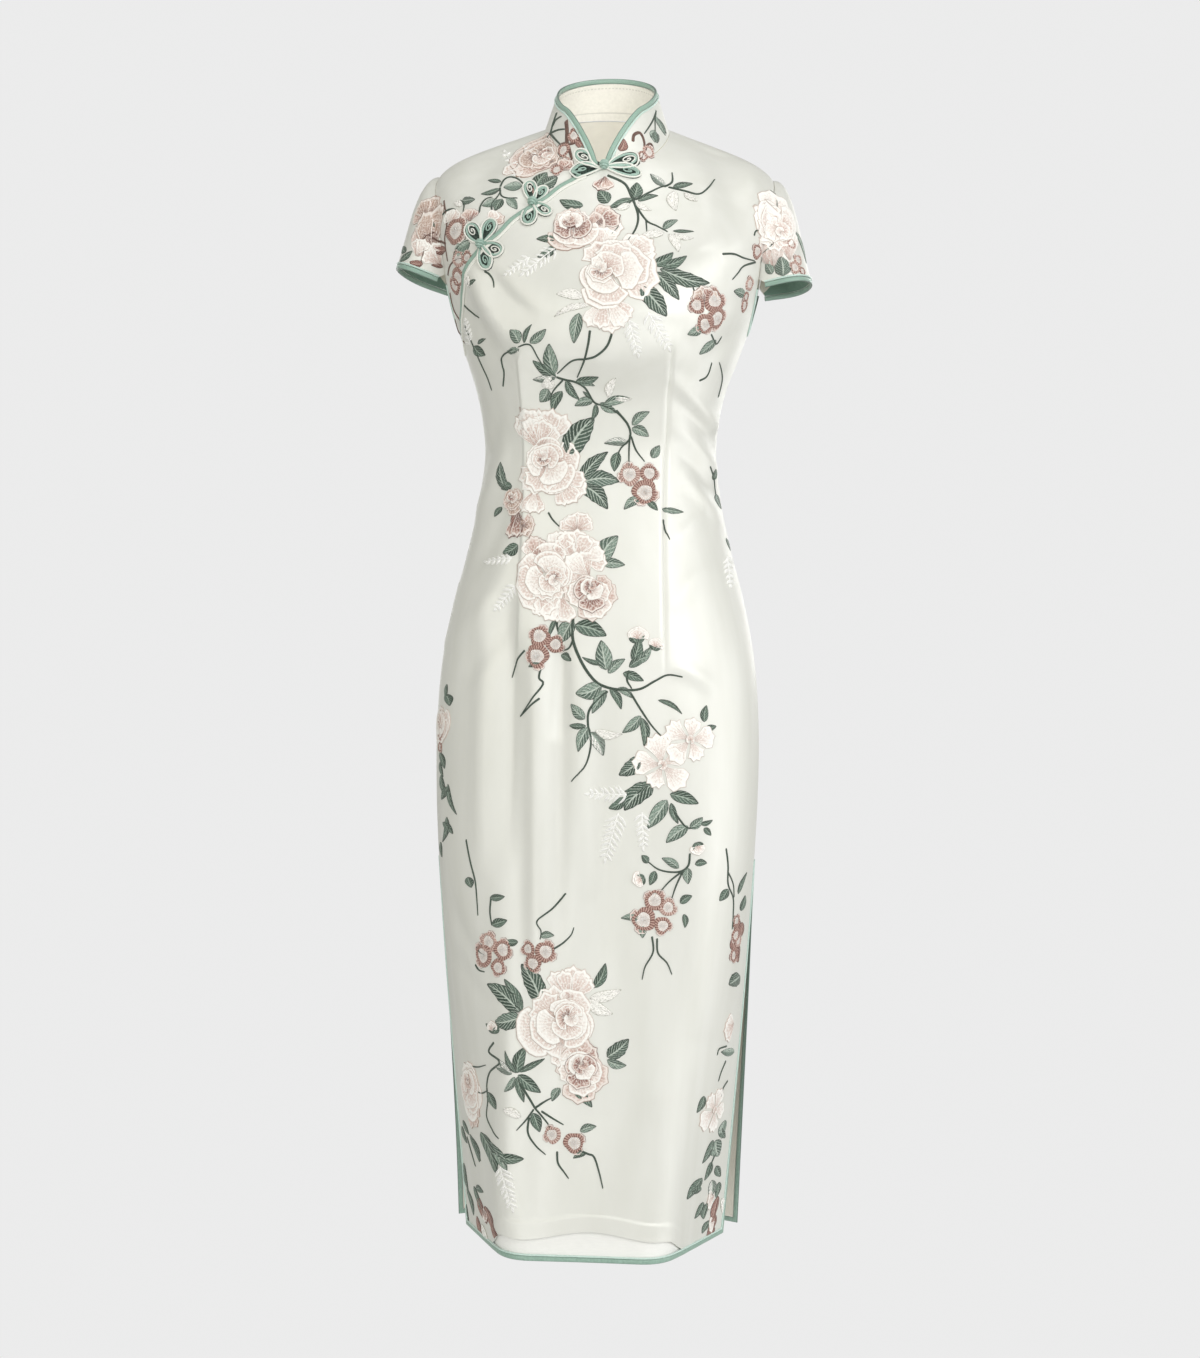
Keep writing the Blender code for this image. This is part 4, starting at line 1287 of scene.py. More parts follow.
def petal_material(name, heart, body, pale, rim, outline):
    """Long-and-short stitch with paler knots, from a petal's heart, partly painted shade, to a corded rim
    with a painted shadow line round it, and painted shade in the hollows between knots.
    """
    nodes = Nodes(name)
    across, along, wide, _, metres = stitch_places(nodes)
    blotch = nodes.noise(260.0, 2.0, metres)
    knots = nodes.noise(470.0, 4.0, metres)
    edge = nodes.maths("MAXIMUM", nodes.maths("ABSOLUTE", across), along)
    spread = nodes.maths("MULTIPLY", nodes.maths("SUBTRACT", blotch, 0.5), 0.8)
    # The heart's deeper tone is graded thread colour, partly painted shade where petals overlap.
    fill = nodes.ramp(nodes.maths("ADD", along, spread), ((0.30, heart), (0.62, body), (0.95, pale)))
    threads = wave(nodes, wide, 0.0024, knots, 3.5)
    streaks = nodes.maths("MULTIPLY", nodes.ramp(threads, ((0.1, BLACK), (0.9, OPEN))), 0.42)
    streaked = nodes.mix(streaks, fill, rim)
    knotted = shown_over(nodes, streaked, knots, 0.52, 0.60, rim, grey(0.75))
    # Painted shade: the outline's tone at half strength in the hollows between knots.
    hollow_shaded = shown_under(nodes, knotted, knots, 0.34, 0.44, outline, grey(0.5))
    corded = shown_over(nodes, hollow_shaded, edge, 0.86, 0.91, rim)
    # Painted shadow: a thin line in the outline's tone round the rim.
    colour = shown_over(nodes, corded, edge, 0.96, 0.99, outline)
    raised = nodes.maths("MULTIPLY", threads, 0.4), nodes.maths("MULTIPLY", knots, 2.4)
    return thread_finish(nodes, colour, nodes.maths("ADD", *raised))


def leaf_material(name, dark, light, vein, outline, spacing=0.17, steep=0.34, start=0.90):
    """A leaf in two tones, with slanting veins, a midrib, streaks of thread and an outline."""
    nodes = Nodes(name)
    across, along, _, _, metres = stitch_places(nodes)
    side = nodes.maths("ABSOLUTE", across)
    slant = nodes.maths("SUBTRACT", along, nodes.maths("MULTIPLY", side, steep))
    blotch = nodes.noise(420.0, 2.0, metres)
    streak = nodes.noise(1.0, 2.0, nodes.scaled(metres, STREAK))
    veins = wave(nodes, slant, spacing, blotch, 2.2)
    half = nodes.ramp(across, ((0.0, dark), (0.16, light)))
    mottled = nodes.mix(nodes.maths("MULTIPLY", blotch, 0.4), half, light)
    veined = shown_over(nodes, mottled, veins, 0.35, 0.95, vein, grey(0.85))
    # Streaks in the outline's tone; on the white leaves these are painted grey shade.
    streaked = shown_under(nodes, veined, streak, 0.36, 0.50, outline, grey(0.75))
    ribbed = shown_under(nodes, streaked, side, 0.05, 0.13, vein)
    edge = nodes.maths("MAXIMUM", side, along)
    # The outline; on the white leaves it is a painted grey shadow line.
    colour = shown_over(nodes, ribbed, edge, start, 0.97, outline)
    relief = nodes.maths("ADD", nodes.maths("MULTIPLY", streak, 1.6), veins)
    return thread_finish(nodes, colour, relief)


def plain_thread_material(name, light, dark, spacing, slant=0.0, depth=THREAD_RELIEF):
    """Satin stitch or twisted cord in one colour, with painted shade between the threads over a random
    mottle.
    """
    nodes = Nodes(name)
    _, _, wide, deep, metres = stitch_places(nodes)
    blotch = nodes.noise(700.0, 2.0, metres)
    run = nodes.maths("ADD", wide, nodes.maths("MULTIPLY", deep, slant)) if slant else wide
    threads = wave(nodes, run, spacing, blotch, 1.5)
    tone = nodes.maths("ADD", nodes.maths("MULTIPLY", threads, 0.25), blotch)
    colour = nodes.ramp(tone, ((0.25, dark), (0.75, light)))
    return thread_finish(nodes, colour, nodes.maths("ADD", threads, blotch), depth)


WHITE = srgb(253, 251, 247)
PALE = srgb(240, 231, 225)
PINK = srgb(226, 208, 200)
SALMON = srgb(203, 171, 160)
MAUVE = srgb(156, 114, 104)
BROWN = srgb(116, 78, 70)
SOFT_SHADOW_BROWN = srgb(172, 146, 133)
FAINT_SHADOW_BROWN = srgb(208, 194, 185)
GREY_SHADE = srgb(164, 164, 150)
DEEP_GREEN = srgb(42, 58, 47)
DARK_GREEN = srgb(62, 80, 69)
MID_GREEN = srgb(100, 121, 109)
LIGHT_GREEN = srgb(156, 173, 160)
PALE_GREEN = srgb(196, 207, 196)

# Petals. Columns: heart (thread colour deepened as painted shade), body, pale tip, corded rim, outline
# (painted shadow at the rim and in the knots' hollows)
PETAL_COLOURS = {
    "white": (PINK, PALE, WHITE, WHITE, FAINT_SHADOW_BROWN),
    "pale": (SALMON, PINK, PALE, WHITE, FAINT_SHADOW_BROWN),
    "pink": (SALMON, PINK, PINK, WHITE, FAINT_SHADOW_BROWN),
    "salmon": (MAUVE, SALMON, PINK, PALE, SOFT_SHADOW_BROWN),
    "mauve": (BROWN, MAUVE, SALMON, PALE, BROWN),
    "heart": (BROWN, SALMON, PALE, WHITE, SOFT_SHADOW_BROWN),
    "dusk": (BROWN, srgb(184, 154, 140), srgb(206, 182, 168), PALE, SOFT_SHADOW_BROWN),
}
# Leaves. Columns: dark half, light half, veins, outline (on the white leaves a painted grey shadow); then,
# where a leaf has its own, the veins' spacing and slant, and where the outline starts
LEAF_COLOURS = {
    "dark": (srgb(52, 68, 57), srgb(98, 118, 105), srgb(168, 183, 170), DEEP_GREEN),
    "light": (srgb(76, 95, 83), srgb(144, 163, 150), PALE_GREEN, DEEP_GREEN),
    "half": (DARK_GREEN, WHITE, LIGHT_GREEN, DARK_GREEN),
    "big": (srgb(56, 73, 62), srgb(80, 99, 87), PALE_GREEN, DEEP_GREEN, 0.115, 0.30),
    "soft": (srgb(70, 88, 77), srgb(112, 132, 120), PALE_GREEN, DEEP_GREEN, 0.115, 0.30),
    "white": (WHITE, WHITE, WHITE, GREY_SHADE, 0.3, 0.3, 0.92),
    "aqua": (MID_GREEN, srgb(196, 208, 198), LIGHT_GREEN, DARK_GREEN),
    "brown": (BROWN, MAUVE, SALMON, srgb(92, 60, 54)),
}
BRIGHT_WHITE = (1.0, 1.0, 0.99)
# Plain threads. Columns: material, light, dark, spacing; then, where it has them, slant and relief
PLAIN_COLOURS = {
    "leaf_fern": ("fern_thread", BRIGHT_WHITE, (0.96, 0.955, 0.93), 0.0020, 0.5, FLAT_RELIEF),
    "stem": ("stem_thread", srgb(98, 114, 102), srgb(50, 64, 54), 0.0013, 0.9),
    "brown_stem": ("brown_thread", srgb(142, 110, 98), srgb(86, 64, 58), 0.0013, 0.9),
    "white_stem": ("white_thread", BRIGHT_WHITE, (0.95, 0.945, 0.92), 0.0013, 0.6, FLAT_RELIEF),
    "ring": ("ring_thread", srgb(206, 172, 160), srgb(116, 74, 66), 0.0024),
    "ring_pale": ("pale_ring_thread", srgb(224, 200, 190), srgb(160, 118, 108), 0.0024),
    "fill": ("fill_thread", (1.0, 0.99, 0.97), srgb(228, 212, 202), 0.0011),
    "shade": ("frog_painted_shade", srgb(66, 86, 76), srgb(22, 34, 28), 0.0016),
}
THREADS = {kind: petal_material(f"petal_{kind}", *row) for kind, row in PETAL_COLOURS.items()}
for leaf_kind, row in LEAF_COLOURS.items():
    THREADS[f"leaf_{leaf_kind}"] = leaf_material(f"leaf_{leaf_kind}", *row)
for thread_kind, row in PLAIN_COLOURS.items():
    THREADS[thread_kind] = plain_thread_material(*row)

# ---------------------------------------------------------------- stitching

PIXEL = 0.001035  # metres on the cloth for one pixel of the photograph
BEHIND = Matrix.Rotation(math.pi, 4, "Z")
Place = namedtuple("Place", "origin right up normal stretch")
MOST_STRETCH = 2.1


def photo_ray(x, y, mirrored=False):
    """The camera's ray through a pixel, or its mirror image from behind the dress."""
    if mirrored:
        x = 2 * AXIS_PIXEL - x
    across, up = x - AXIS_PIXEL, PHOTO_HEIGHT / 2 - y
    u = across * ROLL_COSINE - up * ROLL_SINE
    v = across * ROLL_SINE + up * ROLL_COSINE
    right = Vector((TURN_COSINE, TURN_SINE, 0))
    forward = Vector((-TURN_SINE, TURN_COSINE, 0))
    start = Vector(CAMERA_PLACE)
    aim = forward * FOCAL_PIXELS + right * u + Vector((0, 0, v))
    if mirrored:
        start, aim = BEHIND @ start, BEHIND.to_3x3() @ aim
    return start, aim.normalized()


def spots_about(place, flat):
    """Points in a place's tangent plane, from their distances in pixels."""
    right, up = np.array(place.right), np.array(place.up)
    return np.array(place.origin) + (flat[..., :1] * right + flat[..., 1:] * up) * PIXEL


class Cloth:
    """The outer faces of the cloth, for stitches to lie on."""

    def __init__(self, grids):
        vertices, faces = [], []
        for grid, normals in grids:
            base = len(vertices)
            rows, cols, _ = grid.shape
            vertices += grid.reshape(-1, 3).tolist()
            quads = base + grid_quads(rows, cols)[:, :: outward_order(grid, normals)]
            faces += quads.tolist()
        self.tree = BVHTree.FromPolygons(vertices, faces)

    def settle(self, points, heights):
        settled = np.empty((len(points), 3))
        for i, (point, height) in enumerate(zip(points, heights)):
            place, normal, _, _ = self.tree.find_nearest(point)
            settled[i] = place + normal * height
        return settled


class Sewing:
    """Embroidery on the dress's front, or mirrored on its back, as one piece for each thread."""

    def __init__(self, cloth, region, mirrored=False):
        self.cloth, self.region, self.mirrored = cloth, region, mirrored
        self.batches = {}

    def place(self, x, y):
        start, aim = photo_ray(x, y, self.mirrored)
        point, normal, _, _ = self.cloth.tree.ray_cast(start, aim)
        if point is None:
            return None
        up = (Vector((0, 0, 1)) - normal * normal.z).normalized()
        right = up.cross(normal)
        facing = max(abs(right.x * TURN_COSINE + right.y * TURN_SINE), 1 / MOST_STRETCH)
        return Place(point, -right if self.mirrored else right, up, normal, 1 / facing)

    def sew(self, thread, place, flat, heights, across, along, metres):
        """A grid of stitches: flat places in pixels, heights in metres, and its coordinates."""
        self.sew_points(thread, spots_about(place, flat), heights, across, along, metres)

    def sew_points(self, thread, spots, heights, across, along, metres):
        rows, cols = heights.shape
        batch = self.batches.setdefault(thread, ([], [], [], []))
        vertices, faces, places, threads = batch
        base = sum(len(v) for v in vertices)
        vertices.append(self.cloth.settle(spots.reshape(-1, 3), heights.ravel()))
        quads = base + grid_quads(rows, cols)[:, [0, 3, 2, 1]]
        faces.append(quads[:, ::-1] if self.mirrored else quads)
        places.append(np.stack(np.broadcast_arrays(across, along), -1).reshape(-1, 2))
        threads.append(metres.reshape(-1, 2))

    def finish(self):
        for thread, (vertices, faces, places, threads) in self.batches.items():
            name = f"stitches_{self.region}_{thread}"
            mesh = bpy.data.meshes.new(name)
            quads = np.concatenate(faces)
            mesh.from_pydata(np.concatenate(vertices).tolist(), [], quads.tolist())
            corners = quads.ravel()
            set_uvs(mesh, "place", np.concatenate(places)[corners])
            set_uvs(mesh, "thread", np.concatenate(threads)[corners])
            mesh.polygons.foreach_set("use_smooth", [True] * len(quads))
            piece = new_piece(name, mesh, [THREADS[thread]])


# Steps along and across a stitched shape, close together at its rim, which drops to the cloth
ALONG = np.array([0.0, 0.15, 0.32, 0.50, 0.66, 0.79, 0.88, 0.93, 0.97, 1.0, 1.0])
HALF_ACROSS = np.array([0.25, 0.50, 0.72, 0.86, 0.93, 0.97, 1.0, 1.0])
ACROSS = np.concatenate([-HALF_ACROSS[::-1], [0.0], HALF_ACROSS])
BURIED = -0.0002


def rim_drop(heights):
    heights[:, 0] = heights[:, -1] = BURIED
    heights[0] = heights[-1] = BURIED
    return heights


def direction(turn):
    angle = math.radians(turn)
    return np.array([math.cos(angle), math.sin(angle)])


PETAL_CROWN, PETAL_CORD = 0.0004, 0.0004  # how high a petal's middle and its corded rim stand
RIM_CORD_AT, RIM_CORD_WIDTH = 0.93, 0.05  # as shares of the way to the rim
PETAL_CORNER, PETAL_CORNER_POWER = 0.24, 2.6  # how much shorter a petal is at its corners
PETAL_FOOT = 0.62  # its width at the foot, as a share


def petal(sewing, place, thread, centre, inner, outer, facing, spread, lift, ruffle=0.05, waves=3.0):
    """A petal as a sector about a flower's centre, with a corded rim."""
    s, t = ALONG[:, None], ACROSS[None, :]
    corner = PETAL_CORNER * np.abs(t) ** PETAL_CORNER_POWER
    reach = outer * (1 - corner + ruffle * np.cos(waves * math.pi * t))
    radius = inner + (reach - inner) * s
    angle = np.radians(facing - spread * t * (PETAL_FOOT + (1 - PETAL_FOOT) * s))
    flat = np.stack([centre[0] + radius * np.cos(angle), centre[1] + radius * np.sin(angle)], -1)
    edge = np.maximum(np.abs(t), s)
    corded = np.exp(-(((edge - RIM_CORD_AT) / RIM_CORD_WIDTH) ** 2))
    heights = lift + PETAL_CROWN * (1 - t * t) * s + PETAL_CORD * corded
    arc = t * math.radians(spread) * (inner + outer) / 2 * PIXEL + 0 * s
    metres = np.stack([arc, (radius * PIXEL) + 0 * t], -1)
    sewing.sew(thread, place, flat, rim_drop(heights + 0 * t), t, s, metres)


# A rose's layers, from its guard petals in.
# Columns: petals, inner, outer, spread, lift, first turn, forward
ROSE_LAYERS = (
    (5, 0.20, 1.12, 43, 0.0003, 72, 0.00),
    (4, 0.14, 0.94, 50, 0.0007, 24, 0.06),
    (3, 0.06, 0.76, 60, 0.0011, 18, 0.00),
    (2, 0.04, 0.55, 78, 0.0015, 66, -0.16),
    (1, 0.08, 0.40, 92, 0.0018, -50, -0.24),
    (1, 0.00, 0.22, 140, 0.0020, 60, -0.26),
)
# How uneven a rose's petals are: their turns in degrees, their lengths and their ruffles
ROSE_SWAY, ROSE_UNEVEN, ROSE_RUFFLE = 15, 0.10, 0.035
ROSE_LEAN = 0.22  # how much longer its guard petals are on the side that it falls to
# The threads of those layers
ROSE_TONES = {
    "pale": ("pale", "pink", "white", "pale", "heart", "white"),
    "pink": ("pink", "pale", "pink", "white", "salmon", "pale"),
    "salmon": ("white", "pink", "pale", "white", "salmon", "heart"),
    "mauve": ("salmon", "pale", "mauve", "white", "mauve", "salmon"),
    "white": ("white", "white", "pale", "white", "pale", "white"),
    "dusk": ("dusk", "salmon", "dusk", "pink", "mauve", "pale"),
    "brown": ("mauve", "dusk", "mauve", "pale", "mauve", "salmon"),
}


def rose(sewing, x, y, radius, fall, kind):
    """A full rose whose petals lean towards the way it falls."""
    place = sewing.place(x, y)
    if place is None:
        return
    lean = direction(fall)
    for depth, (count, inner, outer, spread, lift, first, forward) in enumerate(ROSE_LAYERS):
        centre = lean * radius * forward
        for k in range(count):
            facing = fall + first + 360 * k / count + ROSE_SWAY * math.sin(3.1 * k + y + depth)
            reach = 1 + ROSE_LEAN * math.cos(math.radians(facing - fall)) * (1 - 0.2 * depth)
            reach *= 1 + ROSE_UNEVEN * math.sin(2.4 * k + depth + x)
            ruffle = 0.03 + ROSE_RUFFLE * math.sin(k * 1.7 + y)
            form = (inner * radius, outer * radius * reach, facing, spread, lift + 0.0001 * (k % 3))
            petal(sewing, place, ROSE_TONES[kind][depth], centre, *form, ruffle, 3.0 + (k % 2))


def fan(sewing, x, y, radius, facing, spread, count, kind):
    """Broad petals that overlap like a fan, as on a half-open flower."""
    place = sewing.place(x, y)
    if place is None:
        return
    for k in range(count):
        share = (k + 0.5) / count - 0.5
        turn = facing + spread * share
        lift = 0.0004 + 0.0003 * (k % 2)
        reach = radius * (1 - 0.12 * abs(share) + 0.06 * math.sin(2.2 * k + x))
        tone = ROSE_TONES[kind][(k + int(x)) % 3]
        petal(sewing, place, tone, (0, 0), 0.0, reach, turn, spread / count * 1.05, lift)


BLOSSOM_PETALS, BLOSSOM_SPREAD, BLOSSOM_HEART = 5, 34, 0.20


def blossom(sewing, x, y, radius, turn, kind):
    """An open flower of five broad petals with a small heart."""
    place = sewing.place(x, y)
    if place is None:
        return
    for k in range(BLOSSOM_PETALS):
        facing = turn + 360 // BLOSSOM_PETALS * k
        lift = 0.00045 + 0.00012 * (k % 2)
        reach = radius * (1.02 + 0.16 * math.sin(2.1 * k + turn))
        form = (0.06 * radius, reach, facing, BLOSSOM_SPREAD, lift, 0.06, 3.0 + k % 2)
        petal(sewing, place, kind, (0, 0), *form)
    petal(sewing, place, "pale", (0, 0), 0.0, BLOSSOM_HEART * radius, turn, 170, 0.0011, 0.0)


RING_STEPS = 25


def round_grid(centre, inner, outer, offset, steps):
    """A ring of places about a centre, whose hole may sit to one side."""
    angles = np.linspace(0, -2 * math.pi, RING_STEPS)[None, :]
    s = np.array(steps)[:, None]
    circle = np.stack([np.cos(angles), np.sin(angles)], -1)
    start = np.array(offset) + circle * inner
    end = circle * outer
    flat = np.array(centre) + start + (end - start) * s[..., None]
    metres = np.stack([angles * (inner + outer) / 2 * PIXEL + 0 * s, s * outer * PIXEL + 0 * angles], -1)
    return flat, angles, s, metres


# A ring blossom's two petals, its white knots and the ring about them. Reaches are shares of
# its radius, turns and spreads degrees, and heights metres
RING_PETAL, RING_PETAL_TURN, RING_PETAL_SPREAD = (0.4, 1.36), 46, 34
KNOTS_REACH, KNOTS_ASIDE, KNOTS_HEIGHT, KNOTS_FALL = 0.72, 0.12, 0.0009, 0.0004
RING_INNER, RING_OUTER, RING_FOOT, RING_PUFF = 0.66, 1.04, 0.0005, 0.0009
RING_UNEVEN = (0.07, 0.04)


def ring_blossom(sewing, place, centre, radius, turn, thread="ring"):
    """A small blossom: a padded ring of thread about white knots, on two small petals."""
    inner, outer = (radius * share for share in RING_PETAL)
    for side in (-1, 1):
        facing = turn + side * RING_PETAL_TURN
        petal(sewing, place, "mauve", centre, inner, outer, facing, RING_PETAL_SPREAD, 0.0003, 0.04)
    offset = direction(turn) * radius * KNOTS_ASIDE
    steps = (0.0, 0.35, 0.7, 1.0)
    flat, angles, s, metres = round_grid(centre, 0.0, radius * KNOTS_REACH, offset, steps)
    heights = KNOTS_HEIGHT - KNOTS_FALL * s * s + 0 * angles
    sewing.sew("fill", place, flat, heights, s + 0 * angles, s + 0 * angles, metres)
    broad, fine = RING_UNEVEN
    wobble = 1 + broad * np.cos(3 * angles + turn) + fine * np.cos(5 * angles - turn)
    steps = (0.0, 0.0, 0.2, 0.5, 0.8, 1.0, 1.0)
    flat, angles, s, metres = round_grid(centre, radius * RING_INNER, radius * RING_OUTER, offset, steps)
    middle = np.array(centre)
    flat = middle + (flat - middle) * wobble[..., None]
    heights = RING_FOOT + RING_PUFF * np.sin(np.clip(s, 0.05, 0.95) * math.pi) + 0 * angles
    heights[0] = heights[-1] = BURIED
    sewing.sew(thread, place, flat, heights, s + 0 * angles, s + 0 * angles, metres)


def rings(sewing, x, y, radius, count, turn, pale):
    """A cluster of ring blossoms about a point."""
    place = sewing.place(x, y)
    if place is None:
        return
    if count == 1:
        ring_blossom(sewing, place, (0, 0), radius, turn, "ring_pale" if pale else "ring")
        return
    for k in range(count):
        facing = turn + 360 * k / count + 14 * math.sin(k * 2 + x)
        centre = direction(facing) * radius * (0.98 if count < 4 else 1.15)
        size = radius * (1.0 - 0.14 * ((k * 2 + int(x)) % 3))
        ring_blossom(sewing, place, centre, size, facing, "ring_pale" if k < pale else "ring")


LEAF_ALONG = np.array([0.0, 0.0, 0.08, 0.18, 0.3, 0.42, 0.54, 0.66, 0.77, 0.86, 0.93, 1.0])
SLIM_ALONG = np.array([0.0, 0.0, 0.15, 0.40, 0.65, 0.85, 0.95, 1.0])
SLIM_ACROSS = np.array([-1.0, -1.0, -0.6, 0.0, 0.6, 1.0, 1.0])
TOOTHED = ("big", "soft")
TEETH, TOOTH_SIZE, TEETH_END = 5.0, 0.22, 0.95
LEAF_BROADEST, LEAF_FULLNESS, LEAF_FOOT = 0.78, 0.85, 0.05  # powers, and its width at the stem
LEAF_BEND, LEAF_LIFT = 0.10, 0.00035
LEAF_PUFF, OTHER_PUFF = {"white": 0.0011, "fern": 0.0014, "big": 0.0007}, 0.0005


def leaf(sewing, x, y, turn, length, width, kind):
    """A leaf from its base, with a midrib, and teeth along the big ones."""
    place = sewing.place(x, y)
    if place is None:
        return
    slim = kind == "fern"
    s = (SLIM_ALONG if slim else LEAF_ALONG)[:, None]
    t = (SLIM_ACROSS if slim else ACROSS)[None, :]
    swell = np.sin(math.pi * np.clip(s, 0.0, 1.0) ** LEAF_BROADEST) ** LEAF_FULLNESS
    half = width / 2 * (swell + LEAF_FOOT * (1 - s))
    if kind in TOOTHED:
        half = half * (1.05 + TOOTH_SIZE * (((s * TEETH) % 1.0) - 0.5) * np.abs(t) * (s < TEETH_END))
    bend = LEAF_BEND * math.sin(x * 0.7 + y * 0.3)
    forward, aside = direction(turn), direction(turn - 90)
    run = s * length + 0 * t
    off = t * half + bend * length * np.sin(math.pi * s)
    flat = run[..., None] * forward + off[..., None] * aside
    flat = flat * np.array([place.stretch, 1.0])
    puff = np.abs(t)
    heights = LEAF_LIFT + LEAF_PUFF.get(kind, OTHER_PUFF) * (1 - (2 * puff - 1) ** 2) * swell
    heights = rim_drop(heights + 0 * s)
    metres = np.stack([off * PIXEL, run * PIXEL], -1)
    sewing.sew(f"leaf_{kind}", place, flat, heights, t + 0 * s, s + 0 * t, metres)


VINE_STEP, VINE_WEIGHT, VINE_LEAST = 0.0016, 1.2, 0.0003  # the last is its least half width
VINE_ACROSS = np.array([-1.0, -1.0, -0.6, 0.0, 0.6, 1.0, 1.0])
VINE_HEIGHTS = np.array([BURIED, 0.0002, 0.00075, 0.00095, 0.00075, 0.0002, BURIED])


def curve_through(points):
    """A smooth curve through points, in even steps."""
    padded = [2 * points[0] - points[1], *points, 2 * points[-1] - points[-2]]
    out = []
    for a, b, c, d in zip(padded, padded[1:], padded[2:], padded[3:]):
        steps = max(2, int(np.linalg.norm(c - b) / VINE_STEP))
        t = np.linspace(0, 1, steps, endpoint=False)[:, None]
        square, cube = 2 * a - 5 * b + 4 * c - d, 3 * b - a - 3 * c + d
        out.append(0.5 * (2 * b + (c - a) * t + square * t**2 + cube * t**3))
    return np.concatenate([*out, points[-1:]])


def vine(sewing, width, *spots, thread="stem"):
    """A corded stem through pixels, tapering to its end."""
    places = [sewing.place(*spot) for spot in spots]
    points = np.array([place.origin for place in places if place is not None])
    if len(points) < 2:
        return
    path = curve_through(points)
    path = sewing.cloth.settle(path, np.zeros(len(path)))
    normals = sewing.cloth.settle(path, np.ones(len(path))) - path
    tangents = np.gradient(path, axis=0)
    aside = np.cross(tangents, normals)
    aside /= np.linalg.norm(aside, axis=1)[:, None] + 1e-9
    if sewing.mirrored:
        aside = -aside
    share = np.linspace(0, 1, len(path))
    half = width / 2 * VINE_WEIGHT * PIXEL * (1 - 0.5 * share**2)
    half = np.maximum(half, VINE_LEAST)
    spots_out = path[:, None] + aside[:, None] * (half[:, None] * VINE_ACROSS[None, :])[..., None]
    heights = np.broadcast_to(VINE_HEIGHTS, spots_out.shape[:2]).copy()
    heights[0] = heights[-1] = BURIED
    metres = np.stack(np.broadcast_arrays(distance_along(path)[:, None], VINE_ACROSS * 0.001), -1)
    across, down = np.broadcast_arrays(VINE_ACROSS[None, :], share[:, None])
    sewing.sew_points(thread, spots_out, heights, across, down, metres)


FERN_STEM, LOBE_WIDTH, LOBE_TURN = 1.5, 2.5, 50
# The first lobes' place between two pairs, and lengths as shares of the spray's
LOBE_START, LOBE_LENGTH, LOBE_SHRINK, TIP_LENGTH = 0.35, 0.33, 0.16, 0.16


def fern(sewing, x, y, turn, length, lobes):
    """A spray of slim white lobes in pairs on a stem."""
    forward = direction(turn)
    tip = (x + forward[0] * length, y - forward[1] * length)
    vine(sewing, FERN_STEM, (x, y), tip, thread="white_stem")
    for k in range(lobes):
        share = (k + LOBE_START) / lobes
        size = length * (LOBE_LENGTH - LOBE_SHRINK * share)
        lobe_x = x + forward[0] * length * share
        lobe_y = y - forward[1] * length * share
        for side in (-1, 1):
            leaf(sewing, lobe_x, lobe_y, turn + side * LOBE_TURN, size, LOBE_WIDTH, "fern")
    leaf(sewing, *tip, turn, length * TIP_LENGTH, LOBE_WIDTH, "fern")


# How far back a bud's leaves start, their turn, and their length and width, by its radius
BUD_BACK, BUD_LEAF_TURN, BUD_LEAF = 0.3, 32, (1.3, 0.7)


def bud(sewing, x, y, radius, turn):
    """A round pale bud held by two small leaves."""
    place = sewing.place(x, y)
    if place is None:
        return
    petal(sewing, place, "white", (0, 0), 0.0, radius * 1.1, turn, 85, 0.0006)
    petal(sewing, place, "pale", (0, 0), 0.0, radius * 0.9, turn + 20, 60, 0.0009)
    back = direction(turn) * radius * BUD_BACK
    length, width = (radius * share for share in BUD_LEAF)
    for side in (-1, 1):
        leaf(sewing, x - back[0], y + back[1], turn + side * BUD_LEAF_TURN, length, width, "dark")


# ---------------------------------------------------------------- where the flowers lie

# Every place is a pixel of the photograph. Turns are in degrees, anticlockwise from its right.
# Roses. Columns: x, y, radius, fall, kind
ROSES = (
    (541, 156, 27, 170, "dusk"), (778, 226, 27, 100, "white"), (573, 225, 24, -60, "mauve"),
    (609, 271, 35, -20, "pale"), (547, 462, 27, -60, "pale"), (548, 578, 28, 160, "pale"),
    (591, 592, 22, -100, "mauve"), (563, 1021, 34, 200, "pale"), (581, 1070, 24, -110, "mauve"),
    (470, 1085, 26, -90, "salmon"), (441, 722, 18, -60, "pale"), (513, 499, 12, -80, "dusk"),
)
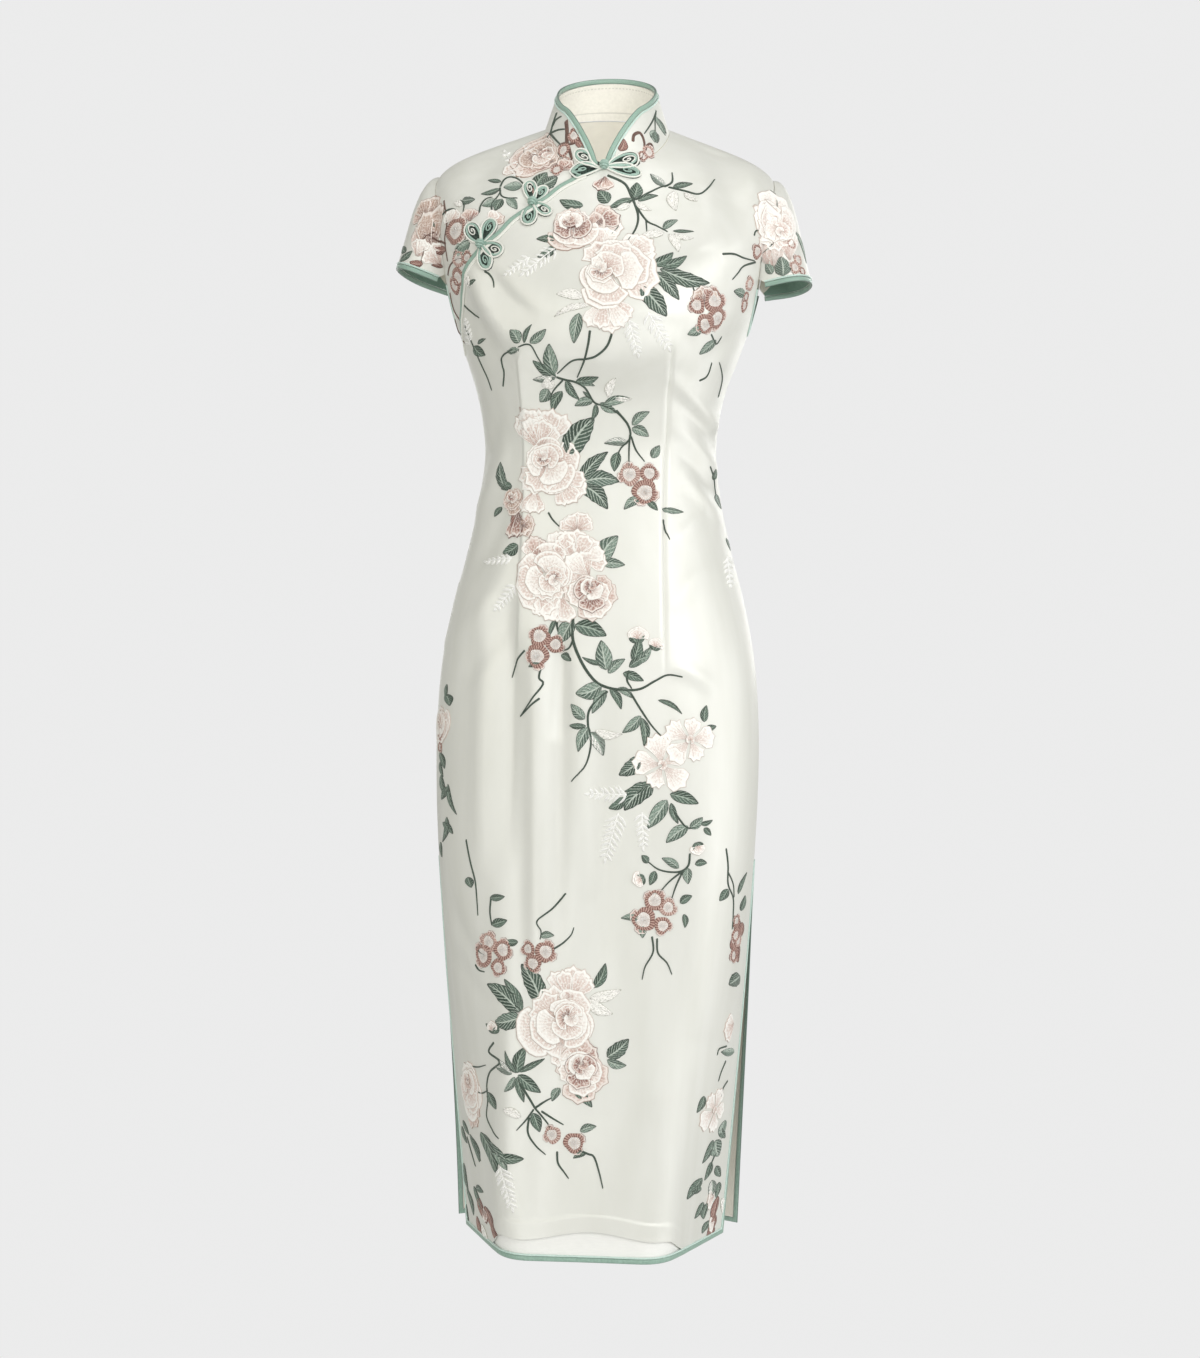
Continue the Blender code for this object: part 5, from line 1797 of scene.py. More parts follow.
# Half-open flowers. Columns: x, y, radius, facing, spread, petals, kind
FANS = (
    (592, 226, 30, 25, 90, 3, "mauve"), (603, 252, 30, 100, 64, 2, "salmon"),
    (706, 303, 17, 95, 130, 4, "brown"), (622, 258, 34, 35, 80, 3, "white"),
    (606, 296, 36, -80, 100, 5, "salmon"), (541, 452, 45, 90, 92, 5, "pink"),
    (536, 446, 31, 100, 70, 3, "white"), (557, 478, 32, -38, 90, 4, "pink"),
    (536, 488, 27, -100, 60, 3, "salmon"), (574, 560, 30, 85, 120, 5, "pink"),
    (560, 592, 31, -105, 90, 4, "salmon"), (552, 560, 30, 60, 70, 3, "pale"),
    (539, 562, 26, 110, 60, 3, "mauve"), (580, 560, 26, 20, 80, 3, "pale"),
    (590, 578, 30, 138, 84, 3, "salmon"), (570, 1002, 34, 85, 95, 5, "pink"),
    (560, 1040, 26, -70, 70, 3, "white"), (575, 1062, 26, 60, 80, 3, "mauve"),
    (559, 165, 50, 158, 74, 4, "dusk"), (521, 172, 20, 135, 80, 2, "pink"),
    (434, 262, 62, 112, 52, 3, "dusk"), (428, 222, 30, 118, 90, 3, "dusk"),
    (412, 270, 20, 120, 90, 3, "pale"), (441, 266, 24, 128, 60, 2, "pink"),
    (774, 272, 76, 84, 46, 3, "white"), (768, 266, 36, 108, 60, 3, "pale"),
    (790, 262, 40, 92, 50, 2, "white"), (470, 222, 16, 100, 70, 2, "mauve"),
    (486, 224, 19, 40, 60, 2, "mauve"), (605, 176, 17, -95, 70, 2, "mauve"),
    (560, 172, 17, 60, 70, 2, "mauve"), (452, 222, 14, 100, 110, 2, "white"),
    (538, 592, 26, -60, 70, 3, "white"), (540, 449, 29, 66, 56, 2, "pale"),
    (518, 510, 29, -84, 60, 3, "brown"), (521, 527, 22, 12, 70, 3, "dusk"),
    (577, 531, 19, 90, 150, 5, "pink"), (734, 1024, 22, 190, 90, 3, "pale"),
    (484, 1206, 16, -70, 60, 2, "mauve"), (714, 1196, 16, 190, 80, 3, "pale"),
    (714, 1220, 14, 200, 70, 2, "white"),
)
# Open flowers. Columns: x, y, radius, turn, kind
BLOSSOMS = (
    (662, 765, 27, 30, "white"), (690, 740, 25, 80, "white"),
    (714, 1110, 23, 60, "white"), (473, 1112, 16, 20, "salmon"),
)
# Clusters of ring blossoms. Columns: x, y, radius, rings, turn, how many are pale
RINGS = (
    (708, 311, 11, 4, 70, 0), (640, 481, 11.5, 3, 160, 1), (544, 647, 11, 3, 120, 0),
    (656, 914, 11, 4, 20, 1), (493, 955, 11, 4, 110, 1), (536, 954, 9.5, 3, 140, 0),
    (563, 1139, 11, 2, 170, 1), (736, 928, 7, 2, 90, 0), (736, 948, 7, 2, 60, 1), (455, 231, 13, 1, 10, 0),
    (457, 268, 9, 2, 80, 1), (455, 286, 8, 1, 80, 0), (467, 258, 6, 1, 40, 0), (757, 252, 7, 1, 100, 0),
    (747, 290, 6.5, 2, 80, 1), (744, 306, 6, 1, 80, 0), (799, 266, 6, 3, 80, 2), (791, 244, 5, 1, 40, 1),
    (574, 136, 7, 1, 60, 0), (564, 150, 7, 1, 200, 0), (648, 152, 6.5, 1, 0, 1), (643, 156, 5, 1, 220, 0),
    (536, 191, 4, 1, 0, 0), (441, 740, 7, 2, 80, 0), (562, 166, 6, 2, 60, 1),
)
# Leaves by their kind. Columns: x, y, turn, length, width
LEAVES = {
    "dark": (
        (634, 198, 80, 20, 13), (633, 199, 205, 27, 9), (638, 201, 20, 22, 7), (673, 187, 12, 21, 8),
        (673, 231, 0, 21, 4), (652, 265, 35, 26, 11), (660, 266, 25, 30, 10), (556, 240, 175, 20, 9),
        (556, 246, 215, 22, 10), (583, 206, 160, 26, 12), (608, 203, 125, 18, 14),
        (512, 486, 190, 12, 9), (518, 545, 208, 17, 13), (618, 452, -100, 20, 10),
        (647, 500, -45, 15, 7), (524, 343, 65, 20, 5), (556, 377, 142, 28, 10),
        (562, 391, -115, 24, 10), (566, 380, -58, 24, 8), (576, 381, 10, 23, 9),
        (596, 404, -105, 17, 6), (592, 399, 140, 12, 4), (603, 664, 162, 22, 5),
        (610, 688, -62, 24, 8), (623, 673, -20, 22, 9), (586, 726, 178, 22, 6), (642, 718, -86, 28, 9),
        (658, 700, -30, 28, 5), (629, 667, 30, 23, 9), (633, 661, 74, 24, 11), (575, 625, -18, 33, 16),
        (561, 655, -25, 15, 8), (542, 664, 190, 17, 5), (556, 618, 250, 20, 5), (704, 722, 80, 17, 8),
        (706, 728, 10, 11, 6), (650, 782, 200, 27, 9), (625, 798, 212, 20, 10),
        (670, 794, -18, 31, 12), (671, 803, -70, 22, 7), (700, 824, 15, 14, 5), (704, 828, -45, 11, 6),
        (695, 864, 2, 13, 7), (655, 871, 250, 15, 8), (648, 863, 130, 10, 7), (684, 914, -85, 14, 6),
        (680, 903, 30, 14, 8), (490, 898, 10, 15, 7), (492, 925, 22, 16, 9), (518, 942, 178, 14, 7),
        (522, 1011, 122, 36, 11), (594, 988, 66, 27, 10), (572, 1090, -40, 26, 11),
        (516, 1073, 120, 25, 6), (517, 1073, 72, 28, 12), (519, 1072, 30, 30, 6),
        (518, 1075, -36, 28, 12), (517, 1077, -74, 26, 8), (488, 1092, -58, 17, 9),
        (533, 1113, -70, 20, 11), (586, 1153, 205, 14, 6), (481, 1132, -62, 38, 15),
        (496, 1157, 5, 25, 10), (472, 1137, -70, 24, 8), (466, 1203, -80, 22, 6),
        (462, 1126, -60, 17, 8), (470, 1134, -60, 26, 6), (463, 1120, -50, 15, 7),
        (464, 1163, -80, 28, 9), (476, 1188, 8, 12, 7), (474, 1186, -60, 24, 7),
        (467, 1188, -70, 26, 8), (440, 752, -68, 18, 7), (440, 762, -72, 16, 5),
        (441, 775, -72, 22, 7), (448, 787, 235, 17, 8), (448, 784, -73, 32, 5), (447, 684, -88, 16, 4),
        (446, 694, -68, 13, 9), (468, 877, -75, 11, 9), (443, 822, -45, 15, 7), (447, 817, 255, 28, 6),
        (441, 842, -88, 16, 6), (738, 894, 67, 23, 5), (728, 889, 235, 14, 9), (741, 911, 78, 16, 7),
        (704, 1096, 248, 17, 8), (713, 1140, 246, 23, 8), (711, 1162, 252, 18, 7),
        (702, 1178, 228, 22, 11), (719, 1182, -96, 16, 7), (703, 1202, 240, 16, 8),
        (707, 1203, 262, 16, 8), (710, 1220, 232, 13, 8), (716, 1166, -64, 16, 7),
        (701, 1190, 150, 14, 8), (720, 1128, -60, 16, 7), (502, 507, 235, 12, 6),
        (501, 182, 160, 16, 6), (500, 189, 195, 20, 8), (536, 186, 62, 20, 15),
        (502, 199, 250, 16, 10), (468, 287, 30, 10, 5), (474, 346, -58, 15, 9), (478, 344, 30, 8, 4),
        (459, 345, -85, 24, 7), (466, 398, -82, 24, 6), (436, 228, 105, 15, 8), (400, 262, 48, 14, 7),
        (770, 190, -85, 11, 7), (716, 494, -75, 16, 8), (713, 480, 80, 12, 6), (726, 538, -70, 14, 6),
        (657, 118, -62, 16, 5),
    ),
    "half": (
        (665, 186, 133, 21, 9), (628, 443, 182, 24, 8), (556, 377, 185, 24, 8),
        (590, 732, -60, 27, 13), (512, 1074, 172, 24, 8), (510, 1071, 150, 20, 7),
        (712, 1180, -92, 20, 9),
    ),
    "white": (
        (674, 191, -88, 27, 12), (684, 193, -42, 18, 7), (635, 203, -30, 19, 7),
        (630, 204, 205, 16, 8), (664, 233, 194, 26, 10), (669, 234, -66, 23, 10),
        (674, 234, -12, 20, 6), (583, 297, 172, 27, 11), (590, 305, 198, 38, 7),
        (553, 379, 210, 14, 12), (608, 397, 70, 22, 9), (614, 398, -2, 18, 5), (595, 731, -6, 28, 9),
        (590, 998, 16, 32, 11), (588, 1000, -28, 28, 12), (521, 1117, 166, 22, 9),
        (482, 1224, -55, 22, 8), (722, 1198, -82, 18, 7), (462, 206, 150, 12, 7),
        (466, 275, -80, 14, 7), (437, 208, 108, 18, 5),
    ),
    "light": (
        (663, 229, 38, 19, 8), (579, 313, -100, 30, 12), (632, 425, 38, 22, 9),
        (632, 428, -25, 19, 10), (652, 458, 60, 15, 9), (641, 498, 215, 21, 9), (662, 509, -12, 18, 6),
        (600, 563, 58, 33, 18), (602, 563, -4, 23, 10), (519, 343, 125, 17, 12), (530, 343, 38, 21, 9),
        (519, 349, 195, 17, 6), (554, 374, 93, 31, 14), (548, 389, 235, 16, 12), (578, 384, -8, 17, 5),
        (593, 401, 195, 19, 9), (600, 403, -28, 20, 8), (604, 404, 12, 27, 9), (606, 670, 100, 30, 16),
        (608, 673, 40, 22, 9), (602, 685, 198, 28, 16), (606, 690, 240, 27, 10),
        (618, 688, -35, 17, 7), (585, 719, 142, 24, 11), (589, 727, 246, 27, 12),
        (641, 716, 222, 25, 10), (634, 663, 44, 24, 9), (573, 620, 240, 26, 15),
        (667, 800, 236, 34, 14), (688, 826, 218, 27, 12), (690, 828, 38, 17, 9),
        (679, 868, 150, 20, 8), (688, 868, -88, 16, 9), (640, 919, 178, 19, 7), (641, 925, -82, 13, 8),
        (540, 936, 2, 14, 7), (607, 1060, -15, 20, 9), (560, 1088, 240, 16, 8),
        (515, 1077, 232, 20, 7), (580, 1131, 18, 17, 8), (488, 1140, -52, 31, 11),
        (716, 1140, -74, 20, 14), (716, 340, 240, 21, 8), (703, 327, 212, 17, 9),
        (745, 295, 178, 11, 9), (772, 274, 120, 12, 9), (774, 184, -52, 24, 6), (796, 232, -72, 32, 8),
        (655, 116, -66, 20, 6),
    ),
    "big": (
        (660, 269, -12, 56, 15), (655, 272, -48, 38, 13), (640, 286, -48, 42, 18),
        (567, 455, 54, 46, 23), (580, 482, 48, 41, 13), (580, 484, -42, 38, 16),
        (506, 490, 103, 30, 9), (641, 758, 218, 28, 14), (653, 785, 222, 38, 18),
        (541, 1002, 120, 42, 19), (520, 1012, 151, 48, 17), (607, 1057, 40, 28, 14),
        (740, 976, 205, 14, 15), (540, 186, 28, 20, 14), (462, 201, 8, 13, 10), (655, 132, -88, 12, 9),
    ),
    "soft": (
        (580, 483, 3, 40, 16), (521, 1017, 194, 33, 16), (783, 276, 97, 20, 16),
    ),
    "brown": (
        (478, 1196, -62, 26, 10), (485, 1206, -58, 26, 10), (491, 1222, -52, 24, 9),
        (477, 1216, -62, 26, 8), (737, 918, -85, 20, 8), (742, 922, -100, 20, 7),
        (732, 938, -60, 20, 8), (738, 944, -82, 20, 8), (713, 1226, -104, 14, 7),
        (718, 1196, -98, 26, 8), (715, 1214, 250, 22, 8), (515, 512, -95, 20, 9),
        (471, 262, -70, 14, 8), (450, 300, -80, 22, 8), (460, 372, -70, 20, 6), (446, 250, 155, 18, 9),
        (423, 264, 168, 16, 8), (443, 267, 175, 12, 5), (620, 151, 72, 14, 10), (576, 140, -55, 14, 8),
    ),
    "aqua": (
        (734, 1052, 162, 17, 8), (725, 1120, -94, 19, 9), (522, 186, 182, 19, 13),
        (507, 198, -50, 18, 9), (497, 200, 205, 16, 11), (470, 243, 195, 20, 13),
        (462, 250, -100, 14, 10), (456, 322, -75, 22, 8), (654, 130, -95, 14, 8),
        (588, 154, 118, 13, 9),
    ),
}
# White sprays. Columns: x, y, turn, length, lobes
FERNS = (
    (556, 248, 218, 40, 7), (530, 257, 215, 28, 5), (628, 318, -75, 36, 7),
    (648, 312, -60, 40, 7), (512, 558, 188, 25, 5), (516, 585, 230, 30, 6),
    (618, 813, -105, 46, 8), (642, 812, -88, 34, 6), (628, 795, 178, 38, 7),
    (500, 1166, -74, 42, 8), (470, 345, 100, 24, 5), (520, 178, 120, 30, 5),
    (548, 160, 150, 26, 5), (727, 556, -84, 28, 5),
)
# Buds. Columns: x, y, radius, turn
BUDS = (
    (638, 640, 12, 85), (655, 648, 9, 70), (697, 845, 9, -80),
    (642, 878, 9, 200), (493, 1031, 9, 100),
)
# Stems. Each has its width, then the pixels it passes through
VINES = (
    (2.4, (607, 175), (625, 184), (634, 199), (648, 193), (661, 187), (668, 186)),
    (2.0, (664, 187), (672, 182), (672, 172)),
    (2.0, (668, 187), (685, 191), (699, 194), (708, 188), (715, 179)),
    (2.2, (633, 199), (638, 215), (636, 228), (627, 242)),
    (2.0, (633, 201), (646, 220), (657, 226), (668, 232)),
    (1.4, (646, 220), (647, 234)),
    (1.8, (617, 213), (619, 225), (611, 235)),
    (2.0, (590, 330), (588, 345), (584, 361), (577, 378)),
    (2.0, (613, 330), (607, 346), (596, 356), (586, 359), (572, 361), (557, 374)),
    (1.6, (503, 387), (504, 372), (502, 357), (518, 347), (530, 345), (538, 358), (545, 368), (556, 377)),
    (1.8, (556, 377), (566, 380), (575, 382), (585, 388), (594, 402), (604, 406), (616, 412), (628, 424)),
    (2.0, (616, 410), (628, 425), (630, 438), (621, 448), (617, 457)),
    (1.6, (630, 434), (629, 450), (629, 467)),
    (1.6, (631, 436), (636, 450), (645, 462)),
    (1.6, (563, 380), (554, 390), (549, 400)),
    (1.8, (465, 325), (470, 338), (475, 350), (483, 368), (488, 379), (492, 391)),
    (1.6, (663, 519), (665, 530), (670, 540)),
    (1.6, (548, 512), (553, 520), (561, 528)),
    (
        2.6, (573, 617), (573, 640), (582, 663), (594, 680), (606, 687), (623, 690), (640, 689),
        (655, 681), (668, 675), (683, 677),
    ),
    (1.8, (573, 640), (569, 648), (561, 651)),
    (2.0, (557, 620), (557, 626), (558, 632)),
    (2.0, (608, 691), (598, 699), (589, 711), (588, 725), (591, 742), (586, 764), (571, 782)),
    (1.8, (630, 692), (641, 710), (652, 726), (665, 740)),
    (1.8, (525, 650), (517, 661), (512, 678)),
    (1.8, (541, 667), (539, 678), (543, 684), (531, 700), (520, 717)),
    (1.8, (540, 698), (530, 706), (520, 717)),
    (2.0, (629, 670), (627, 680), (632, 689)),
    (1.8, (690, 853), (688, 866), (678, 872), (660, 870), (647, 861)),
    (1.6, (684, 870), (670, 881), (659, 893)),
    (1.6, (683, 871), (676, 886), (671, 901)),
    (1.8, (672, 808), (680, 820), (688, 828), (700, 826)),
    (1.8, (726, 848), (728, 866), (728, 884), (733, 898), (733, 915), (732, 930)),
    (1.4, (728, 872), (733, 884), (734, 898)),
    (1.8, (466, 839), (470, 860), (475, 880), (477, 900), (478, 916)),
    (1.8, (491, 898), (490, 912), (492, 926)),
    (1.6, (566, 893), (553, 908), (537, 921), (541, 931), (540, 940)),
    (1.6, (552, 950), (563, 943), (571, 935), (574, 927)),
    (1.6, (652, 936), (653, 952), (645, 967), (642, 980)),
    (1.6, (657, 938), (658, 953), (667, 963), (672, 975)),
    (1.8, (476, 946), (480, 952), (486, 955)),
    (1.8, (475, 964), (479, 970), (485, 972)),
    (
        2.0, (494, 1042), (489, 1052), (500, 1062), (490, 1072), (487, 1085), (488, 1100),
        (487, 1117), (493, 1131), (499, 1139),
    ),
    (1.4, (471, 1066), (478, 1067), (486, 1065)),
    (1.6, (478, 1092), (483, 1093), (488, 1090)),
    (2.0, (519, 1082), (529, 1098), (535, 1108), (540, 1114), (548, 1124), (551, 1131)),
    (1.8, (541, 1111), (552, 1118), (564, 1125)),
    (1.8, (535, 1108), (544, 1102), (553, 1097)),
    (1.6, (534, 1109), (526, 1120), (516, 1131)),
    (1.8, (529, 1117), (528, 1133), (536, 1146), (546, 1155)),
    (1.8, (557, 1151), (558, 1163), (564, 1172), (569, 1179)),
    (1.8, (576, 1149), (588, 1154), (594, 1157), (599, 1172), (603, 1189)),
    (2.0, (467, 1136), (471, 1150), (476, 1167)),
    (1.6, (726, 1060), (721, 1072), (718, 1082)),
    (1.6, (728, 1080), (723, 1088), (720, 1098)),
    (1.8, (716, 1152), (711, 1164), (707, 1178)),
    (1.6, (727, 1046), (719, 1049), (717, 1056)),
    (1.8, (722, 254), (734, 254), (744, 258), (755, 261)),
    (1.8, (756, 262), (744, 266), (738, 273), (732, 280)),
    (1.6, (754, 236), (756, 231), (762, 230)),
    (1.8, (484, 271), (489, 274), (493, 280), (494, 288)),
    (1.6, (464, 305), (470, 311), (479, 318)),
    (1.7, (500, 187), (504, 180), (510, 177), (518, 179), (524, 185), (528, 193), (534, 199)),
    (1.6, (500, 187), (501, 195), (507, 198), (518, 198)),
    (1.6, (479, 213), (481, 205), (486, 199), (493, 197)),
    (1.6, (492, 213), (492, 204), (498, 196), (501, 190)),
    (1.8, (442, 216), (446, 211), (453, 209), (459, 212)),
    (1.6, (453, 262), (455, 252), (461, 244), (469, 240)),
    (1.6, (460, 200), (464, 205), (463, 212)),
    (3.0, (557, 112), (553, 124), (550, 134), (545, 142), (552, 149), (560, 156), (568, 161)),
    (2.0, (551, 133), (558, 130), (566, 129)),
    (2.2, (553, 126), (556, 120), (562, 116)),
    (2.2, (550, 133), (556, 140), (562, 146)),
    (1.8, (656, 112), (652, 122), (644, 134)),
    (1.6, (656, 110), (655, 120), (655, 133)),
    (1.6, (710, 466), (714, 480), (716, 496)),
    (1.8, (699, 381), (707, 376), (712, 362)),
    (1.6, (718, 398), (722, 380), (719, 362)),
    (1.6, (711, 334), (716, 344), (722, 336)),
    (1.8, (702, 301), (695, 292), (692, 284)),
    (1.4, (776, 196), (777, 210), (775, 222)),
)
# Brown stems, on the collar and the wearer's right shoulder
BROWN_VINES = (
    (2.0, (446, 244), (436, 240), (428, 235), (424, 240), (424, 250), (421, 262)),
    (1.8, (436, 232), (428, 235), (421, 241)),
    (4.2, (566, 120), (567, 130), (567, 142), (570, 152), (572, 160)),
    (2.8, (570, 131), (574, 130), (578, 134), (581, 141)),
    (2.6, (569, 144), (574, 143), (578, 139)),
    (2.6, (567, 143), (560, 145), (556, 151)),
    (2.8, (633, 142), (634, 135), (640, 133), (644, 141), (644, 150), (641, 160)),
    (2.6, (645, 152), (647, 146), (651, 144), (654, 151)),
    (1.8, (448, 276), (450, 266), (456, 260), (463, 258)),
    (1.6, (444, 200), (447, 222), (445, 240), (448, 262)),
    (1.6, (450, 292), (453, 306), (460, 320), (462, 334)),
    (1.6, (455, 318), (459, 332), (466, 344)),
)


def embroider(sewing):
    for row in VINES:
        vine(sewing, *row)
    for row in BROWN_VINES:
        vine(sewing, *row, thread="brown_stem")
    leaves = [(*row, kind) for kind, rows in LEAVES.items() for row in rows]
    for sew_shape, rows in (
        (fern, FERNS),
        (fan, FANS),
        (leaf, leaves),
        (rings, RINGS),
        (blossom, BLOSSOMS),
        (rose, ROSES),
        (bud, BUDS),
    ):
        for row in rows:
            sew_shape(sewing, *row)
    sewing.finish()


# ---------------------------------------------------------------- frog fastenings

# Radii of the cords: the inner loop's, the outer loop's and the coil's in its middle
FROG_CORD = 0.0012
OUTER_CORD, CORE_CORD = FROG_CORD * 0.80, FROG_CORD * 0.60
KNOT_RADIUS, KNOT_CORD, KNOT_STEPS, KNOT_WINDS = 0.0040, 0.0013, 110, 4.2
KNOT_POLE, KNOT_STANDS = 0.06, 1.1  # how near its cord comes to its poles, and its height in radii
# Petals of coiled cord about each knot. Columns: turn, length and half width in pixels
NECK_PETALS = ((151, 36, 8.5), (184, 36, 8.5), (21, 39, 9.0), (-6, 38, 8.5))
CHEST_PETALS = ((104, 29, 8.0), (62, 24, 7.0), (-40, 26, 7.5), (-94, 30, 9.0))
SIDE_PETALS = ((128, 29, 9.0), (74, 30, 9.0), (-24, 28, 9.0), (-66, 29, 9.0))
# Each knot's pixel, how far it then stands up from there and out, and its petals
FROGS = {
    "frog_neck": ((604, 178), (0.0125, 0.0015), NECK_PETALS),
    "frog_chest": ((533, 204), (0, 0), CHEST_PETALS),
    "frog_side": ((482, 245), (0, 0), SIDE_PETALS),
}
SHADE_PATCH_LIFT = 0.0006
# The dark patch is painted shade, a little larger than the loop so that a shadow edge shows.
SHADE_PATCH_SPREAD = (1.05, 1.20)  # a little longer and wider than the outer loop
INNER_LOOP, INNER_START = (0.86, 0.70), 0.07  # as shares of the outer loop's length and width
OUTER_LIFT, INNER_LIFT, CORE_LIFT = FROG_CORD * 1.5, FROG_CORD * 1.1, FROG_CORD * 1.3
LOOP_WIDTH, LOOP_POWER = 1.12, 0.9
COIL_MIDDLE, COIL_LENGTH, COIL_WIDTH = 0.66, 0.26, 0.46  # as shares of the outer loop's
EASINGS = 3  # passes that ease a cord's kinks
LOOP_TURNS = np.linspace(0, 2 * math.pi, 45)
CORE_TURNS = np.linspace(0, 3.4 * math.pi, 38)


def teardrop(length, half_width, turns):
    """A loop that starts and ends at the knot."""
    x = length * (1 - np.cos(turns)) / 2
    y = half_width * LOOP_WIDTH * np.sin(turns) * np.sin(turns / 2) ** LOOP_POWER
    return np.stack([x, y], -1)


def coil(length, half_width):
    """A cord wound into the middle of a loop."""
    grow = CORE_TURNS / CORE_TURNS[-1]
    x = length * (COIL_MIDDLE - COIL_LENGTH * grow * np.cos(CORE_TURNS))
    y = half_width * COIL_WIDTH * grow * np.sin(CORE_TURNS)
    return np.stack([x, y], -1)


def turned_by(flat, turn):
    return flat[..., :1] * direction(turn) + flat[..., 1:] * direction(turn + 90)


def lying(sewing, place, flat, turn, lift):
    """Cord places turned about the knot and laid on the cloth, with their kinks eased."""
    spots = spots_about(place, turned_by(flat, turn))
    path = sewing.cloth.settle(spots, np.full(len(spots), lift))
    for _ in range(EASINGS):
        path[1:-1] = (path[:-2] + 2 * path[1:-1] + path[2:]) / 4
    return path


def tube_rings(path, radius, count=8):
    tangents = np.gradient(path, axis=0)
    tangents /= np.linalg.norm(tangents, axis=1)[:, None] + 1e-12
    aside = np.cross(tangents[0], (0.3, -0.9, 0.2))
    angles = 2 * math.pi * np.arange(count) / count
    rings_out = []
    for point, tangent in zip(path, tangents):
        aside = aside - tangent * (aside @ tangent)
        aside = aside / np.linalg.norm(aside)
        other = np.cross(tangent, aside)
        circle = np.cos(angles)[:, None] * aside + np.sin(angles)[:, None] * other
        rings_out.append(point + circle * radius)
    return rings_out


def cords(name, paths, material):
    """Several lengths of cord as one piece. Each path comes with its radius."""
    vertices, faces, places = [], [], []
    for path, radius in paths:
        made = tube_rings(path, radius)
        count = len(made[0])
        faces += tube_faces(len(vertices), count, len(made))
        for ring_points, run in zip(made, distance_along(path)):
            vertices += ring_points.tolist()
            places += [(j / count * 2 * math.pi * radius, run) for j in range(count)]
    return mesh_from(name, vertices, faces, [material], places, sharp=CORD_SHARP)


def ball_knot(place, radius):
    """A round knot, as one cord wound over a ball."""
    turns = np.linspace(0, 1, KNOT_STEPS)
    tilt = math.pi * (KNOT_POLE + (1 - 2 * KNOT_POLE) * turns)
    spin = 2 * math.pi * KNOT_WINDS * turns
    ball = np.stack([np.sin(tilt) * np.cos(spin), np.sin(tilt) * np.sin(spin), np.cos(tilt)], -1)
    basis = np.stack([place.normal, place.right, place.up])
    middle = np.array(place.origin) + np.array(place.normal) * radius * KNOT_STANDS
    return middle + (ball * radius) @ basis


def painted_shade_patch(sewing, place, length, half_width, turn):
    """Painted shade: a dark patch that shows between a petal's cords and just outside them."""
    outline = teardrop(length, half_width, LOOP_TURNS[::-1])
    middle = np.array([length * 0.6, 0])
    share = np.array([0.05, 0.55, 1.0])[:, None, None]
    flat = middle + (outline[None] - middle) * share
    flat = turned_by(flat, turn)
    heights = np.full(flat.shape[:2], SHADE_PATCH_LIFT)
    heights[-1] = BURIED
    sewing.sew("shade", place, flat, heights, 0 * heights, share[..., 0] + 0 * heights, flat * PIXEL)


def add_frogs(sewing):
    for node, (knot, (raised, out), petals) in FROGS.items():
        place = sewing.place(*knot)
        place = place._replace(origin=place.origin + place.up * raised + place.normal * out)
        mint, ivory = [], []
        for index, (turn, length, half_width) in enumerate(petals):
            size = np.array([length, half_width])
            painted_shade_patch(sewing, place, *(size * SHADE_PATCH_SPREAD), turn)
            outer = teardrop(*size, LOOP_TURNS)
            inner = teardrop(*(size * INNER_LOOP), LOOP_TURNS) + (length * INNER_START, 0)
            ivory.append((lying(sewing, place, outer, turn, OUTER_LIFT), OUTER_CORD))
            mint.append((lying(sewing, place, inner, turn, INNER_LIFT), FROG_CORD))
            wound = mint if index % 2 else ivory
            wound.append((lying(sewing, place, coil(*size), turn, CORE_LIFT), CORE_CORD))
        mint.append((ball_knot(place, KNOT_RADIUS), KNOT_CORD))
        piece = cords(f"{node}_mint", mint, MINT)
        trim = cords(f"{node}_ivory", ivory, IVORY_CORD)
        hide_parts(f"{node}_left", f"{node}_right", f"{node}_knot")


# ---------------------------------------------------------------- camera, light and floor


def add_camera():
    data = bpy.data.cameras.new("camera")
    data.lens = CAMERA_LENS
    data.sensor_width = SENSOR
    data.shift_x = (PHOTO_WIDTH / 2 - AXIS_PIXEL) / PHOTO_HEIGHT
    data.clip_start = CAMERA_NEAR
    camera = in_scene("camera", data)
    camera.matrix_world = (
        Matrix.Translation(CAMERA_PLACE)
        @ Matrix.Rotation(CAMERA_TURN, 4, "Z")
        @ Matrix.Rotation(math.pi / 2, 4, "X")
        @ Matrix.Rotation(CAMERA_ROLL, 4, "Z")
    )
    bpy.context.scene.camera = camera


# Area lights. Columns: name, place, what it faces, width and height, power, colour
DAYLIGHT, WARM = (1, 1, 1), (1.0, 0.97, 0.85)
LIGHTS = (
    ("key", (2.1, -2.1, 0.45), (0, 0, -0.5), (0.8, 1.4), 29, DAYLIGHT),
    ("front", (0.4, -2.9, 0.2), (0, 0, -0.5), (2.6, 2.6), 15, DAYLIGHT),
    ("under", (-0.9, -1.8, -1.4), (-0.05, 0, -0.8), (1.2, 0.8), 6.5, DAYLIGHT),
    ("side", (2.3, -0.3, -0.9), (0.1, 0, -0.95), (0.8, 1.6), 13, DAYLIGHT),
    ("fill", (-1.6, -2.5, 0.5), (0, 0, -0.5), (1.4, 1.8), 14, WARM),
    ("inside", (0, -0.035, -0.15), (0, 0.06, -0.02), (0.10, 0.03), 0.11, DAYLIGHT),
    ("top", (0.3, -0.9, 1.9), (0, 0, 0), (1.2, 1.0), 9, DAYLIGHT),
    ("behind_left", (1.4, 2.8, 0.4), (0, 0, -0.5), (1.0, 1.8), 19, DAYLIGHT),
    ("behind_right", (-1.2, 3.0, 0.1), (0, 0, -0.5), (1.2, 1.8), 12, DAYLIGHT),
)
